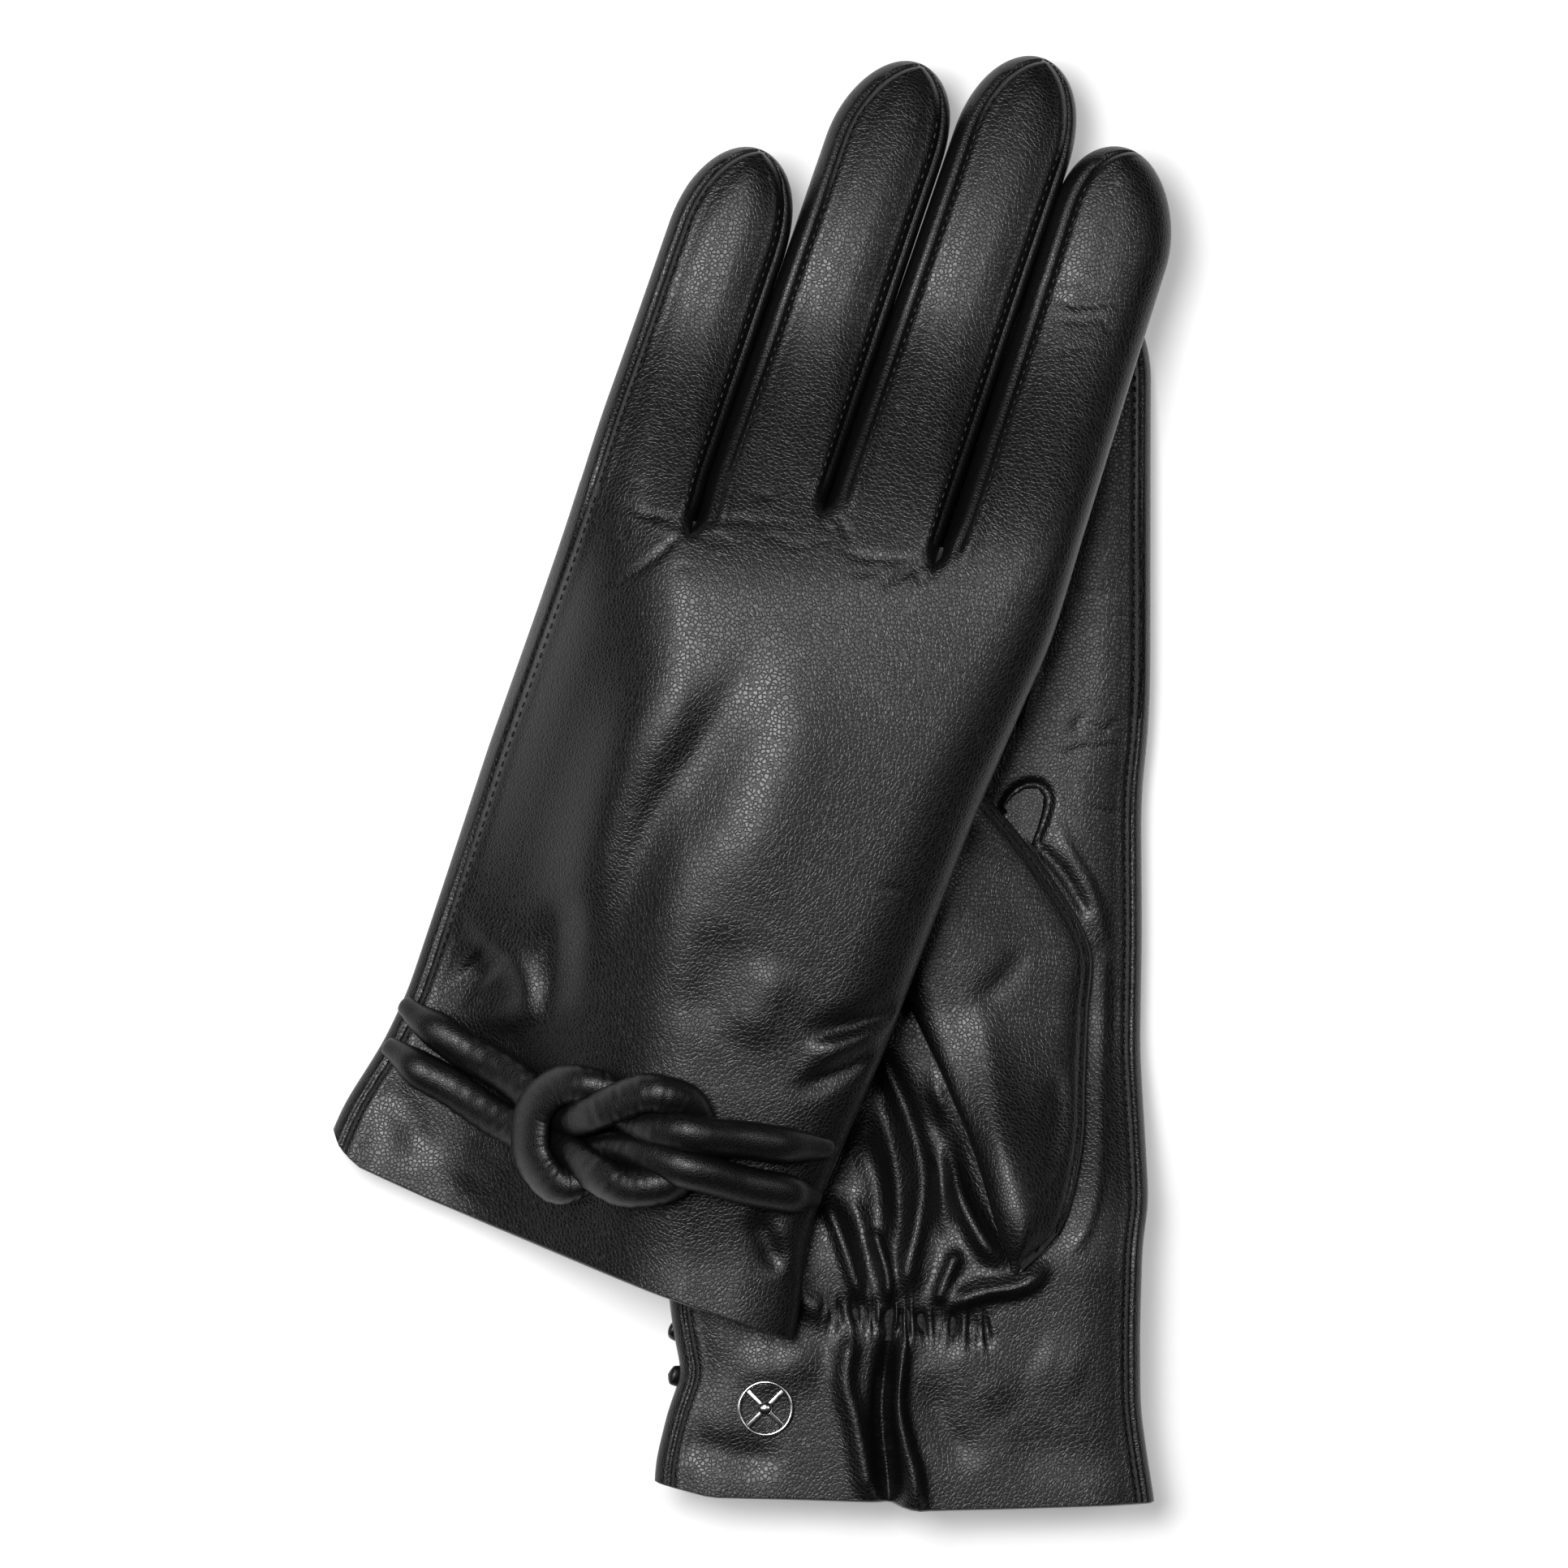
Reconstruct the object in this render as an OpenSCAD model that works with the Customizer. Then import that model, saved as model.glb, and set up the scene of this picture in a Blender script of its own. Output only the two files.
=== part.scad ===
// A pair of lined leather dress gloves, stored as a pair: the right glove lies palm up on the
// table and the left glove lies back up across it, draped over its edge.
//
// Hand coordinates: x from the little finger side to the index side, y from the hem to the
// fingertips, z from the middle of the glove towards the back of the hand. place() carries a
// point from them to the pair's own frame.

/* [Hand] */
// Half of the hem's width
hem_half = 48.5; // [46:0.5:49]
// Half of the width at the wrist, where the elastic gathers it
wrist_half = 44.6; // [43:0.2:46]
// Half of the width across the knuckles
knuckle_half = 48; // [47:0.2:48]
// Distance from the hand's zero line down to the hem
hem_drop = 3; // [2:0.5:4]
// Half of the cuff's thickness
cuff_rise = 5.5; // [5.2:0.1:5.8]
// Half of the palm's thickness
palm_rise = 6.5; // [6:0.1:6.5]

/* [Fingers] */
// Half of a finger's thickness
finger_rise = 6.4; // [6:0.1:6.5]
// Length of a finger's rounded end
tip_round = 11; // [9:0.5:12]
// Free space between a finger and the hand, along the finger
finger_gap = 0.6; // [0.4:0.1:0.8]

/* [Leather and lining] */
// Thickness of the glove leather
leather = 1.0; // [0.8:0.05:1.0]
// Thickness of the knitted lining
lining = 0.7; // [0.5:0.05:0.7]
// Depth of the leather facing inside the cuff
facing_depth = 14; // [12:0.5:15]

/* [Thumb] */
// Half of the thumb's thickness as it lies folded on the palm
thumb_rise = 3.4; // [3.1:0.1:3.5]
// Free space between the folded thumb and the palm
thumb_gap = 0.6; // [0.5:0.05:0.7]

/* [Knot] */
// Radius of the padded cord
cord_radius = 2.8; // [2.6:0.1:2.8]
// Height of the upper cord's middle over the lower one's where they cross
cord_step = 7; // [7:0.1:7.3]

/* [Badge] */
// Radius of the round badge
badge_radius = 5.5; // [5:0.1:6]
// Width of the badge's ring
badge_ring_width = 0.9; // [0.7:0.05:1.2]
// Thickness of the badge
badge_thickness = 1.3; // [1.1:0.1:1.6]

/* [Hidden] */

leather_colour = [0.045, 0.045, 0.05];
strip_colour = [0.035, 0.035, 0.04];
lining_colour = [0.09, 0.09, 0.1];
cord_colour = [0.05, 0.05, 0.055];
metal_colour = [0.78, 0.78, 0.8];
elastic_colour = [0.15, 0.15, 0.16];

// A glove is [where its hand's zero point lies, its turn, which way its back faces, its fingers' lean].
AT = 0;
TURN = 1;
SIDE = 2;
LEAN = 3;
lower = [[29.8, -138.2], 0, -1, -0.3];
upper = [[-36.2, -88.4], -20, 1, 2];

// A finger is [middle of its root in x, its root in y, its tip in y, half its width].
little = [-35.6, 139, 211, 11.3];
ring = [-12.4, 150.6, 237, 11.2];
middle = [10.9, 150.6, 246, 11.6];
index = [35.9, 150.6, 235, 12.7];
hand_end_little = little[1] - finger_gap;
hand_end = index[1] - finger_gap;

little_columns = [-48, -42, -35.6, -30, -24.4];
other_columns = [-23.6, -18, -12.4, -7, -0.8, 5, 11, 17, 23, 29, 36, 42, 49];
hand_rows = [0, 6, 14, 24, 34, 44, 58, 74, 90, 106, 120, 132];
thumb_window = [6, 9, 11, 14];   // rows and columns of the palm that the thumb's opening takes
lining_gap = 0.25;
elastic_y = 32;
elastic_width = 6;
elastic_thickness = 0.7;
badge_at = [-27, 16];
prong_at = 2.8;            // each prong's distance from the badge's middle

lower_lift = 12.8;         // how far the lower glove's own knot lifts its cuff
edge_rest = 7.4;           // the middle of the upper glove where its edge comes down to the table

function smooth(t) = let (c = min(1, max(0, t))) c * c * (3 - 2 * c);
function turned(p, a) = [p.x * cos(a) - p.y * sin(a), p.x * sin(a) + p.y * cos(a)];
function flat(rows) = [for (row = rows) each row];

// Height of the middle of the lower glove: flat under the fingers, lifted by the knot at the cuff.
function lower_base(y) = palm_rise + lower_lift * (1 - smooth((y - 42) / 53));

// Height of the middle of the upper glove: over the lower glove and both thumbs, down to the
// table on the left, and down again past the lower glove's fingertips.
function over_lower(y) =
    31.5 + 4 * smooth((y + 95) / 35) - 13.5 * smooth((y - 35) / 60) - 6 * pow(max(0, y - 100) / 42, 2);
function upper_base(w) =
    let (across = smooth((w.x + 62) / 50), along = smooth((w.y - 30) / 45))
    edge_rest + (over_lower(w.y) - edge_rest) * (1 - (1 - across) * (1 - along));

function place(g, p) =
    let (w = turned([p.x, p.y], g[TURN]) + g[AT])
    [w.x, w.y, (g[SIDE] > 0 ? upper_base(w) : lower_base(p.y)) + g[SIDE] * p.z];

// The hand's outline and thickness
function half_width(y) =
    lookup(y, [[-hem_drop, hem_half], [18, 45.4], [36, wrist_half], [84, 46.6], [150, knuckle_half]]);
function hand_rise(y) = cuff_rise + (palm_rise - cuff_rise) * smooth((y - 35) / 50);
function across_profile(u) = pow(1 - pow(max(0, min(1, abs(u) * 1.9 - 0.9)), 2), 0.5);

// A point of the hand, depth under its skin, on the back (face 1) or the palm (face -1)
function hand_point(g, x, y, face, depth) =
    let (half = half_width(y), u = max(-1, min(1, (x - 0.5) / 48.5)))
    place(g, [0.5 + u * (half - depth), y, face * (hand_rise(y) - depth) * across_profile(u)]);

function hand_grid(g, face, depth, columns, rows, ends) =
    [for (row = [0 : len(rows)])
        [for (c = [0 : len(columns) - 1])
            hand_point(g, columns[c], row < len(rows) ? rows[row] : ends[c], face, depth)]];

module sheet(outer, inner, flip, window = [0, 0, 0, 0]) {
    rows = len(outer) - 1;
    columns = len(outer[0]) - 1;
    count = (rows + 1) * (columns + 1);
    function id(r, c, layer) = layer * count + r * (columns + 1) + c;
    function gone(r, c) =
        r < 0 || c < 0 || r >= rows || c >= columns
        || (r >= window[0] && r < window[1] && c >= window[2] && c < window[3]);
    function wall(r1, c1, r2, c2) =
        [[id(r1, c1, 0), id(r2, c2, 0), id(r2, c2, 1)], [id(r1, c1, 0), id(r2, c2, 1), id(r1, c1, 1)]];
    cells = [for (r = [0 : rows - 1], c = [0 : columns - 1]) if (!gone(r, c)) [r, c]];
    faces = [for (cell = cells) let (r = cell[0], c = cell[1]) each concat(
        [[id(r, c, 0), id(r + 1, c, 0), id(r + 1, c + 1, 0)],
         [id(r, c, 0), id(r + 1, c + 1, 0), id(r, c + 1, 0)]],
        [[id(r, c, 1), id(r + 1, c + 1, 1), id(r + 1, c, 1)],
         [id(r, c, 1), id(r, c + 1, 1), id(r + 1, c + 1, 1)]],
        gone(r - 1, c) ? wall(r, c, r, c + 1) : [],
        gone(r + 1, c) ? wall(r + 1, c + 1, r + 1, c) : [],
        gone(r, c - 1) ? wall(r + 1, c, r, c) : [],
        gone(r, c + 1) ? wall(r, c + 1, r + 1, c + 1) : [])];
    polyhedron(concat(flat(outer), flat(inner)),
        flip ? [for (f = faces) [f[2], f[1], f[0]]] : faces);
}

// A sleeve with an open mouth at its first ring and a closed end at its last
module sleeve(outer, inner, flip) {
    rings = len(outer);
    n = len(outer[0]);
    count = rings * n;
    function id(r, k, layer) = layer * count + r * n + (k % n);
    faces = concat(
        [for (r = [0 : rings - 2], k = [0 : n - 1]) each
            [[id(r, k, 0), id(r + 1, k, 0), id(r + 1, k + 1, 0)],
             [id(r, k, 0), id(r + 1, k + 1, 0), id(r, k + 1, 0)],
             [id(r, k, 1), id(r + 1, k + 1, 1), id(r + 1, k, 1)],
             [id(r, k, 1), id(r, k + 1, 1), id(r + 1, k + 1, 1)]]],
        [for (k = [0 : n - 1]) each
            [[id(0, k, 0), id(0, k + 1, 0), id(0, k + 1, 1)], [id(0, k, 0), id(0, k + 1, 1), id(0, k, 1)]]],
        [for (k = [1 : n - 2]) each
            [[id(rings - 1, 0, 0), id(rings - 1, k + 1, 0), id(rings - 1, k, 0)],
             [id(rings - 1, 0, 1), id(rings - 1, k, 1), id(rings - 1, k + 1, 1)]]]);
    polyhedron(concat(flat(outer), flat(inner)),
        flip ? [for (f = faces) [f[2], f[1], f[0]]] : faces);
}

// A solid round bar swept along a path, with flat ends
module bar(path, radius, sides) {
    last = len(path) - 1;
    function along(i) =
        let (d = path[min(last, i + 1)] - path[max(0, i - 1)]) d / norm(d);
    function ring_at(i) =
        let (t = along(i), a = cross(t, [0, 0, 1]), right = a / norm(a), up = cross(right, t))
        [for (k = [0 : sides - 1])
            path[i] + radius * (cos(360 * k / sides) * right + sin(360 * k / sides) * up)];
    faces = concat(
        [[for (k = [0 : sides - 1]) sides - 1 - k], [for (k = [0 : sides - 1]) last * sides + k]],
        [for (i = [0 : last - 1], k = [0 : sides - 1])
            let (a = i * sides + k, b = i * sides + (k + 1) % sides)
                each [[a, b, b + sides], [a, b + sides, a + sides]]]);
    polyhedron([for (i = [0 : last]) each ring_at(i)],
        [for (f = faces) [for (j = [len(f) - 1 : -1 : 0]) f[j]]]);
}

// --- Hand ---

module back_panel(g) {
    ends = [for (c = little_columns) hand_end_little, for (c = other_columns) hand_end];
    columns = concat(little_columns, other_columns);
    rows = concat([-hem_drop], hand_rows);
    color(leather_colour)
        sheet(hand_grid(g, 1, 0, columns, rows, ends), hand_grid(g, 1, leather, columns, rows, ends),
            g[SIDE] < 0);
}

module palm_panel(g) {
    ends = [for (c = little_columns) hand_end_little, for (c = other_columns) hand_end];
    columns = concat(little_columns, other_columns);
    rows = concat([-hem_drop], hand_rows);
    color(leather_colour)
        sheet(hand_grid(g, -1, 0, columns, rows, ends), hand_grid(g, -1, leather, columns, rows, ends),
            g[SIDE] > 0, thumb_window + [1, 1, 0, 0]);
}

module side_welts(g) {
    welt_radius = 0.55;
    last = 14;
    color(strip_colour)
        for (side = [-1, 1])
            bar([for (i = [0 : last])
                let (y = -hem_drop + 0.6 + i * (hand_end_little - 2 + hem_drop) / last)
                place(g, [0.5 + side * (half_width(y) + 0.1 + welt_radius), y, 0])], welt_radius, 5);
}

// A small upright web that closes the hand between two finger mouths
module web(g, x1, x2, y1, y2) {
    h = palm_rise - leather - 1.1;
    outer = [for (y = [y1, y2]) [for (z = [-h, h]) place(g, [x2, y, z])]];
    inner = [for (y = [y1, y2]) [for (z = [-h, h]) place(g, [x1, y, z])]];
    sheet(outer, inner, g[SIDE] > 0);
}

module crotch_gussets(g) {
    color(strip_colour) {
        web(g, -23.2, -22.2, hand_end_little, hand_end - 0.6);
        web(g, -2.0, 0.4, hand_end - 3, hand_end - 0.6);
        web(g, 21.6, 24.2, hand_end - 3, hand_end - 0.6);
    }
}

inside_columns = [-48, -42, -35.6, -30, -24, -18, -12.4, -7, -0.8, 5, 11, 17, 23, 29, 36, 42, 49];

module cuff_facing(g) {
    columns = inside_columns;
    rows = [-hem_drop + 0.8, 0, 6];
    ends = [for (c = columns) -hem_drop + facing_depth];
    color(leather_colour)
        for (face = [-1, 1])
            sheet(hand_grid(g, face, leather + 0.2, columns, rows, ends),
                hand_grid(g, face, leather + 0.8, columns, rows, ends), g[SIDE] * face < 0);
}

module hand_lining(g) {
    columns = inside_columns;
    rows = [-hem_drop + facing_depth + 0.6, 24, 34, 44, 58, 74, 90, 106, 120];
    ends = [for (c = columns) hand_end_little - 1];
    outer_depth = leather + elastic_thickness + 2.4 * lining_gap;
    color(lining_colour)
        for (face = [-1, 1])
            sheet(hand_grid(g, face, outer_depth, columns, rows, ends),
                hand_grid(g, face, outer_depth + lining, columns, rows, ends), g[SIDE] * face < 0,
                face < 0 ? [4, 7, 10, 13] : [0, 0, 0, 0]);
}

module elastic_tape(g) {
    columns = [-18, -12.4, -7, -0.8, 5, 11, 17];
    rows = [elastic_y - elastic_width / 2, 34];
    ends = [for (c = columns) elastic_y + elastic_width / 2];
    top = leather + lining_gap;
    color(elastic_colour)
        sheet(hand_grid(g, -1, top, columns, rows, ends),
            hand_grid(g, -1, top + elastic_thickness, columns, rows, ends),
            g[SIDE] > 0);
}

// --- Knot: two doubled cords locked as a reef knot on the back of the cuff ---

// A knot point is [x, y, layer]: layer 0 lies on the leather and layer 1 lies on another cord.
little_side_route = [
    [-45.5, 31.5, 0], [-36, 29.2, 0], [-27, 27, 0], [-19, 24.4, 0], [-11.5, 22.1, 0], [-6.2, 21.6, 0.3],
    [-2, 23.6, 0.95], [1.4, 27.8, 1], [5, 32.2, 1], [10.5, 35.8, 0.9], [17, 36.2, 0.4], [22.8, 33, 0],
    [25, 27, 0], [23, 20.4, 0], [17.2, 15.2, 0.4], [10.5, 12.8, 0.9], [4.2, 12.8, 1], [-0.8, 13.8, 0.9],
    [-5.4, 14.6, 0.35], [-11, 14, 0], [-18, 14.6, 0], [-27, 17.4, 0], [-36, 20.4, 0], [-45.5, 22.2, 0]];
index_side_route = [
    [45, 34.6, 0], [37, 33, 0.1], [31.5, 32, 0.5], [25.5, 30.8, 1], [17, 29.6, 0.8], [11, 28.9, 0.2],
    [4.5, 28.6, 0], [-1, 29.2, 0], [-5.4, 29, 0.25], [-10, 26.8, 0.85], [-13, 22.4, 1], [-14, 18, 1],
    [-12.6, 12.8, 1], [-8, 8.8, 0.9], [-1.8, 7.6, 0.3], [3, 10.6, 0], [6.4, 16.2, 0], [11, 20.6, 0.2],
    [17, 22.4, 0.8], [25.5, 23.2, 1], [31.5, 23.6, 0.5], [37, 24, 0.1], [45, 24.4, 0]];

cord_gap = 1;              // upright distance from the leather to the cord, enough on the steepest slope

// A smooth curve through the points of a route
function curve(p, steps) =
    let (last = len(p) - 1)
    concat([for (i = [0 : last - 1], s = [0 : steps - 1])
        let (t = s / steps, a = p[max(0, i - 1)], b = p[i], c = p[i + 1], d = p[min(last, i + 2)])
        0.5 * (2 * b + (c - a) * t + (2 * a - 5 * b + 4 * c - d) * t * t
            + (3 * b - a - 3 * c + d) * t * t * t)],
        [p[last]]);

module knot_cord(g, route) {
    color(cord_colour)
        bar([for (p = curve(route, 2))
            let (u = (p.x - 0.5) / 48.5, skin = hand_rise(p.y) * across_profile(u))
            place(g, [p.x, p.y, skin + cord_gap + cord_radius + p.z * cord_step])], cord_radius, 8);
}

// --- Badge ---

module on_cuff(g) {
    reach = badge_radius;
    middle = hand_point(g, badge_at.x, badge_at.y, -1, 0);
    across = hand_point(g, badge_at.x + reach, badge_at.y, -1, 0)
        - hand_point(g, badge_at.x - reach, badge_at.y, -1, 0);
    along = hand_point(g, badge_at.x, badge_at.y + reach, -1, 0)
        - hand_point(g, badge_at.x, badge_at.y - reach, -1, 0);
    outward = cross(across, along) * -g[SIDE];
    z = outward / norm(outward);
    x = across / norm(across);
    y = cross(z, x);
    multmatrix([[x.x, y.x, z.x, middle.x], [x.y, y.y, z.y, middle.y], [x.z, y.z, z.z, middle.z]]) children();
}

module badge(g) {
    boss_radius = 1.7;
    lift = 0.4;    // the ring stands this far over the leather's faceted face
    bar_width = 0.8;
    prong_length = 0.35;
    color(metal_colour)
        on_cuff(g) translate([0, 0, lift]) {
            difference() {
                cylinder(h = badge_thickness, r = badge_radius, $fn = 48);
                translate([0, 0, -1])
                    cylinder(h = badge_thickness + 2, r = badge_radius - badge_ring_width, $fn = 48);
            }
            cylinder(h = badge_thickness, r = boss_radius, $fn = 32);
            for (a = [45, 135])
                rotate([0, 0, a])
                    translate([0.2 - badge_radius, -bar_width / 2, 0.2])
                        cube([2 * badge_radius - 0.4, bar_width, badge_thickness - 0.5]);
            for (a = [45, 225])
                rotate([0, 0, a])
                    translate([prong_at, 0, -prong_length])
                        cylinder(h = prong_length + 0.8, r = 0.38, $fn = 16);
        }
}

module badge_backplate(g) {
    plate_radius = 3.6;
    plate_thickness = 0.4;
    color(metal_colour)
        on_cuff(g) translate([0, 0, -leather - 0.9])
            difference() {
                cylinder(h = plate_thickness, r = plate_radius, $fn = 32);
                for (a = [45, 225])
                    rotate([0, 0, a])
                        translate([prong_at, 0, -1]) cylinder(h = plate_thickness + 2, r = 0.5, $fn = 16);
            }
}

// --- Thumb ---

thumb_bezier = [[23.5, 42], [25, 80], [11, 112], [-13, 146]];
thumb_middle = palm_rise + thumb_gap + thumb_rise;

function thumb_axis(t) =
    let (s = 1 - t, b = thumb_bezier)
    s * s * s * b[0] + 3 * s * s * t * b[1] + 3 * s * t * t * b[2] + t * t * t * b[3];
function thumb_heading(t) =
    let (s = 1 - t, b = thumb_bezier,
         d = s * s * (b[1] - b[0]) + 2 * s * t * (b[2] - b[1]) + t * t * (b[3] - b[2]))
    d / norm(d);
function thumb_half(t) =
    lookup(t, [[0, 1.6], [0.15, 8], [0.3, 14], [0.45, 17.2], [0.6, 17], [0.75, 14.6], [0.87, 12.4],
               [0.93, 10], [0.97, 7], [0.995, 2]]);
function thumb_thick(t) = min(thumb_rise, 1.2 + 14 * t) * min(1, pow(max(0, 1.02 - t) / 0.12, 0.5));

// A point of the thumb: v across from -1 to 1, face 1 away from the palm and -1 towards it
function thumb_point(g, t, v, face, depth) =
    let (c = thumb_axis(t), d = thumb_heading(t), right = [d.y, -d.x],
        p = c + right * v * max(0.2, thumb_half(t) - depth),
        z = face * max(0.1, thumb_thick(t) - depth) * pow(max(0, 1 - pow(abs(v), 2.4)), 0.5))
    place(g, [p.x, p.y, -thumb_middle - z]);

function thumb_grid(g, face, depth, ts, vs) =
    [for (t = ts) [for (v = vs) thumb_point(g, t, v, face, depth)]];

module thumb_sleeve(g) {
    vs = [-1, -0.75, -0.3, 0.3, 0.75, 1];
    ts = [0.02, 0.15, 0.3, 0.45, 0.6, 0.75, 0.87, 0.93, 0.97, 0.995];
    under = [0.58, 0.67, 0.75, 0.87, 0.93, 0.97, 0.995];
    color(leather_colour) {
        sheet(thumb_grid(g, 1, 0, ts, vs), thumb_grid(g, 1, leather, ts, vs), g[SIDE] > 0);
        sheet(thumb_grid(g, -1, 0, under, vs), thumb_grid(g, -1, leather, under, vs), g[SIDE] < 0);
    }
}

module thumb_lining(g) {
    ts = [0.6, 0.7, 0.8, 0.88, 0.93, 0.955];
    depth = leather + lining_gap;
    function ring_of(t, d) = concat(
        [for (v = [-1, -0.5, 0, 0.5]) thumb_point(g, t, v, 1, d)],
        [for (v = [1, 0.5, 0, -0.5]) thumb_point(g, t, v, -1, d)]);
    color(lining_colour)
        sleeve([for (t = ts) ring_of(t, depth)], [for (t = ts) ring_of(min(t, 0.945), depth + lining)],
            g[SIDE] < 0);
}

// A small three-sided gusset let into the palm at the thumb's crotch
module thumb_quirk(g) {
    function at(x, y, d) = hand_point(g, x, y, -1, d);
    low = -0.05;
    high = -0.35;
    outer = [[at(24, 125, low), at(30, 127, low)], [at(22.5, 131, low), at(28.5, 134, low)]];
    inner = [[at(24, 125, high), at(30, 127, high)], [at(22.5, 131, high), at(28.5, 134, high)]];
    color(strip_colour) sheet(inner, outer, g[SIDE] > 0);
}

// --- Fingers ---

function squared(v) = sign(v) * pow(abs(v), 0.75);

// A point of a finger at the angle a round it, depth under its skin. Rows run from the root to the tip.
finger_rows = [0, 0.25, 0.5, 0.75, 1, 1.3, 1.6, 1.82, 1.95];
function finger_point(g, f, row, a, depth) =
    let (length = f[2] - f[1], body = length - tip_round, q = 90 * max(0, row - 1),
        along = row < 1 ? row * body : body + (tip_round - depth) * sin(q), s = cos(q),
        taper = 1 - 0.07 * smooth(along / body),
        flat_point = turned([(f[3] * taper - depth) * s * squared(cos(a)), along], g[LEAN]) + [f[0], f[1]])
    place(g, [flat_point.x, flat_point.y, (finger_rise - depth) * s * squared(sin(a))]);

seam_gap = 1.2;            // each strip stops this many degrees short of its seam
// A leather strip of a finger's skin between two angles round it
module finger_strip(g, f, from, to) {
    steps = round((to - from) / 30);
    angles = [for (i = [0 : steps]) from + seam_gap + (to - from - 2 * seam_gap) * i / steps];
    sheet([for (r = finger_rows) [for (a = angles) finger_point(g, f, r, a, 0)]],
        [for (r = finger_rows) [for (a = angles) finger_point(g, f, r, a, leather)]], g[SIDE] > 0);
}

// seams is the angle of each seam, so the back's strip runs from the first to the second
module finger_back(g, f, seams) color(leather_colour) finger_strip(g, f, seams[0], seams[1]);
module finger_front(g, f, seams) color(leather_colour) finger_strip(g, f, seams[2], seams[3]);
module fourchette(g, f, from, to) color(strip_colour) finger_strip(g, f, from, to);

module finger_lining(g, f) {
    rows = [0.03, 0.25, 0.5, 0.75, 1, 1.3, 1.6, 1.8];
    depth = leather + lining_gap;
    sides = 12;
    function ring_of(r, d) = [for (k = [0 : sides - 1]) finger_point(g, f, r, 360 * k / sides, d)];
    color(lining_colour)
        sleeve([for (r = rows) ring_of(r, depth)], [for (r = rows) ring_of(r, depth + lining)], g[SIDE] > 0);
}

// Angles of the seams: back from, back to, front from, front to
inner_seams = [30, 150, 210, 330];
little_seams = [30, 150, 150, 330];
index_seams = [-30, 150, 210, 330];

back_panel(lower);  // lower_back_panel
palm_panel(lower);  // lower_palm_panel
side_welts(lower);  // lower_side_welts
crotch_gussets(lower);  // lower_crotch_gussets
thumb_quirk(lower);  // lower_thumb_quirk
cuff_facing(lower);  // lower_cuff_facing
hand_lining(lower);  // lower_hand_lining
elastic_tape(lower);  // lower_elastic_tape
knot_cord(lower, little_side_route);  // lower_knot_cord_little_side
knot_cord(lower, index_side_route);  // lower_knot_cord_index_side
badge(lower);  // lower_badge
badge_backplate(lower);  // lower_badge_backplate
thumb_sleeve(lower);  // lower_thumb_sleeve
thumb_lining(lower);  // lower_thumb_lining
finger_back(lower, little, little_seams);  // lower_little_back
finger_front(lower, little, little_seams);  // lower_little_front
fourchette(lower, little, -30, 30);  // lower_little_fourchette
finger_lining(lower, little);  // lower_little_lining
finger_back(lower, ring, inner_seams);  // lower_ring_back
finger_front(lower, ring, inner_seams);  // lower_ring_front
union() {  // lower_ring_fourchettes
    fourchette(lower, ring, -30, 30);
    fourchette(lower, ring, 150, 210);
}
finger_lining(lower, ring);  // lower_ring_lining
finger_back(lower, middle, inner_seams);  // lower_middle_back
finger_front(lower, middle, inner_seams);  // lower_middle_front
union() {  // lower_middle_fourchettes
    fourchette(lower, middle, -30, 30);
    fourchette(lower, middle, 150, 210);
}
finger_lining(lower, middle);  // lower_middle_lining
finger_back(lower, index, index_seams);  // lower_index_back
finger_front(lower, index, index_seams);  // lower_index_front
fourchette(lower, index, 150, 210);  // lower_index_fourchette
finger_lining(lower, index);  // lower_index_lining
back_panel(upper);  // upper_back_panel
palm_panel(upper);  // upper_palm_panel
side_welts(upper);  // upper_side_welts
crotch_gussets(upper);  // upper_crotch_gussets
thumb_quirk(upper);  // upper_thumb_quirk
cuff_facing(upper);  // upper_cuff_facing
hand_lining(upper);  // upper_hand_lining
elastic_tape(upper);  // upper_elastic_tape
knot_cord(upper, little_side_route);  // upper_knot_cord_little_side
knot_cord(upper, index_side_route);  // upper_knot_cord_index_side
badge(upper);  // upper_badge
badge_backplate(upper);  // upper_badge_backplate
thumb_sleeve(upper);  // upper_thumb_sleeve
thumb_lining(upper);  // upper_thumb_lining
finger_back(upper, little, little_seams);  // upper_little_back
finger_front(upper, little, little_seams);  // upper_little_front
fourchette(upper, little, -30, 30);  // upper_little_fourchette
finger_lining(upper, little);  // upper_little_lining
finger_back(upper, ring, inner_seams);  // upper_ring_back
finger_front(upper, ring, inner_seams);  // upper_ring_front
union() {  // upper_ring_fourchettes
    fourchette(upper, ring, -30, 30);
    fourchette(upper, ring, 150, 210);
}
finger_lining(upper, ring);  // upper_ring_lining
finger_back(upper, middle, inner_seams);  // upper_middle_back
finger_front(upper, middle, inner_seams);  // upper_middle_front
union() {  // upper_middle_fourchettes
    fourchette(upper, middle, -30, 30);
    fourchette(upper, middle, 150, 210);
}
finger_lining(upper, middle);  // upper_middle_lining
finger_back(upper, index, index_seams);  // upper_index_back
finger_front(upper, index, index_seams);  // upper_index_front
fourchette(upper, index, 150, 210);  // upper_index_fourchette
finger_lining(upper, index);  // upper_index_lining
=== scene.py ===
# %% [markdown]
# # A pair of leather dress gloves with a knot at the wrist
# The pair is built from the outside in: first the shape that a hand leaves in a flat glove, then
# the leather pieces cut from that shape, then thumbs, knots, stitching and the badge, and last
# the finishes. Shapes are worked out in millimetres on a flat hand (x to the index side, y from
# hem to fingertips, z towards the back of the hand), and place() lays them in the pair's frame.

# %% Setting up
import bpy, bmesh, math, random
import numpy as np
from mathutils import Matrix, Vector


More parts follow.
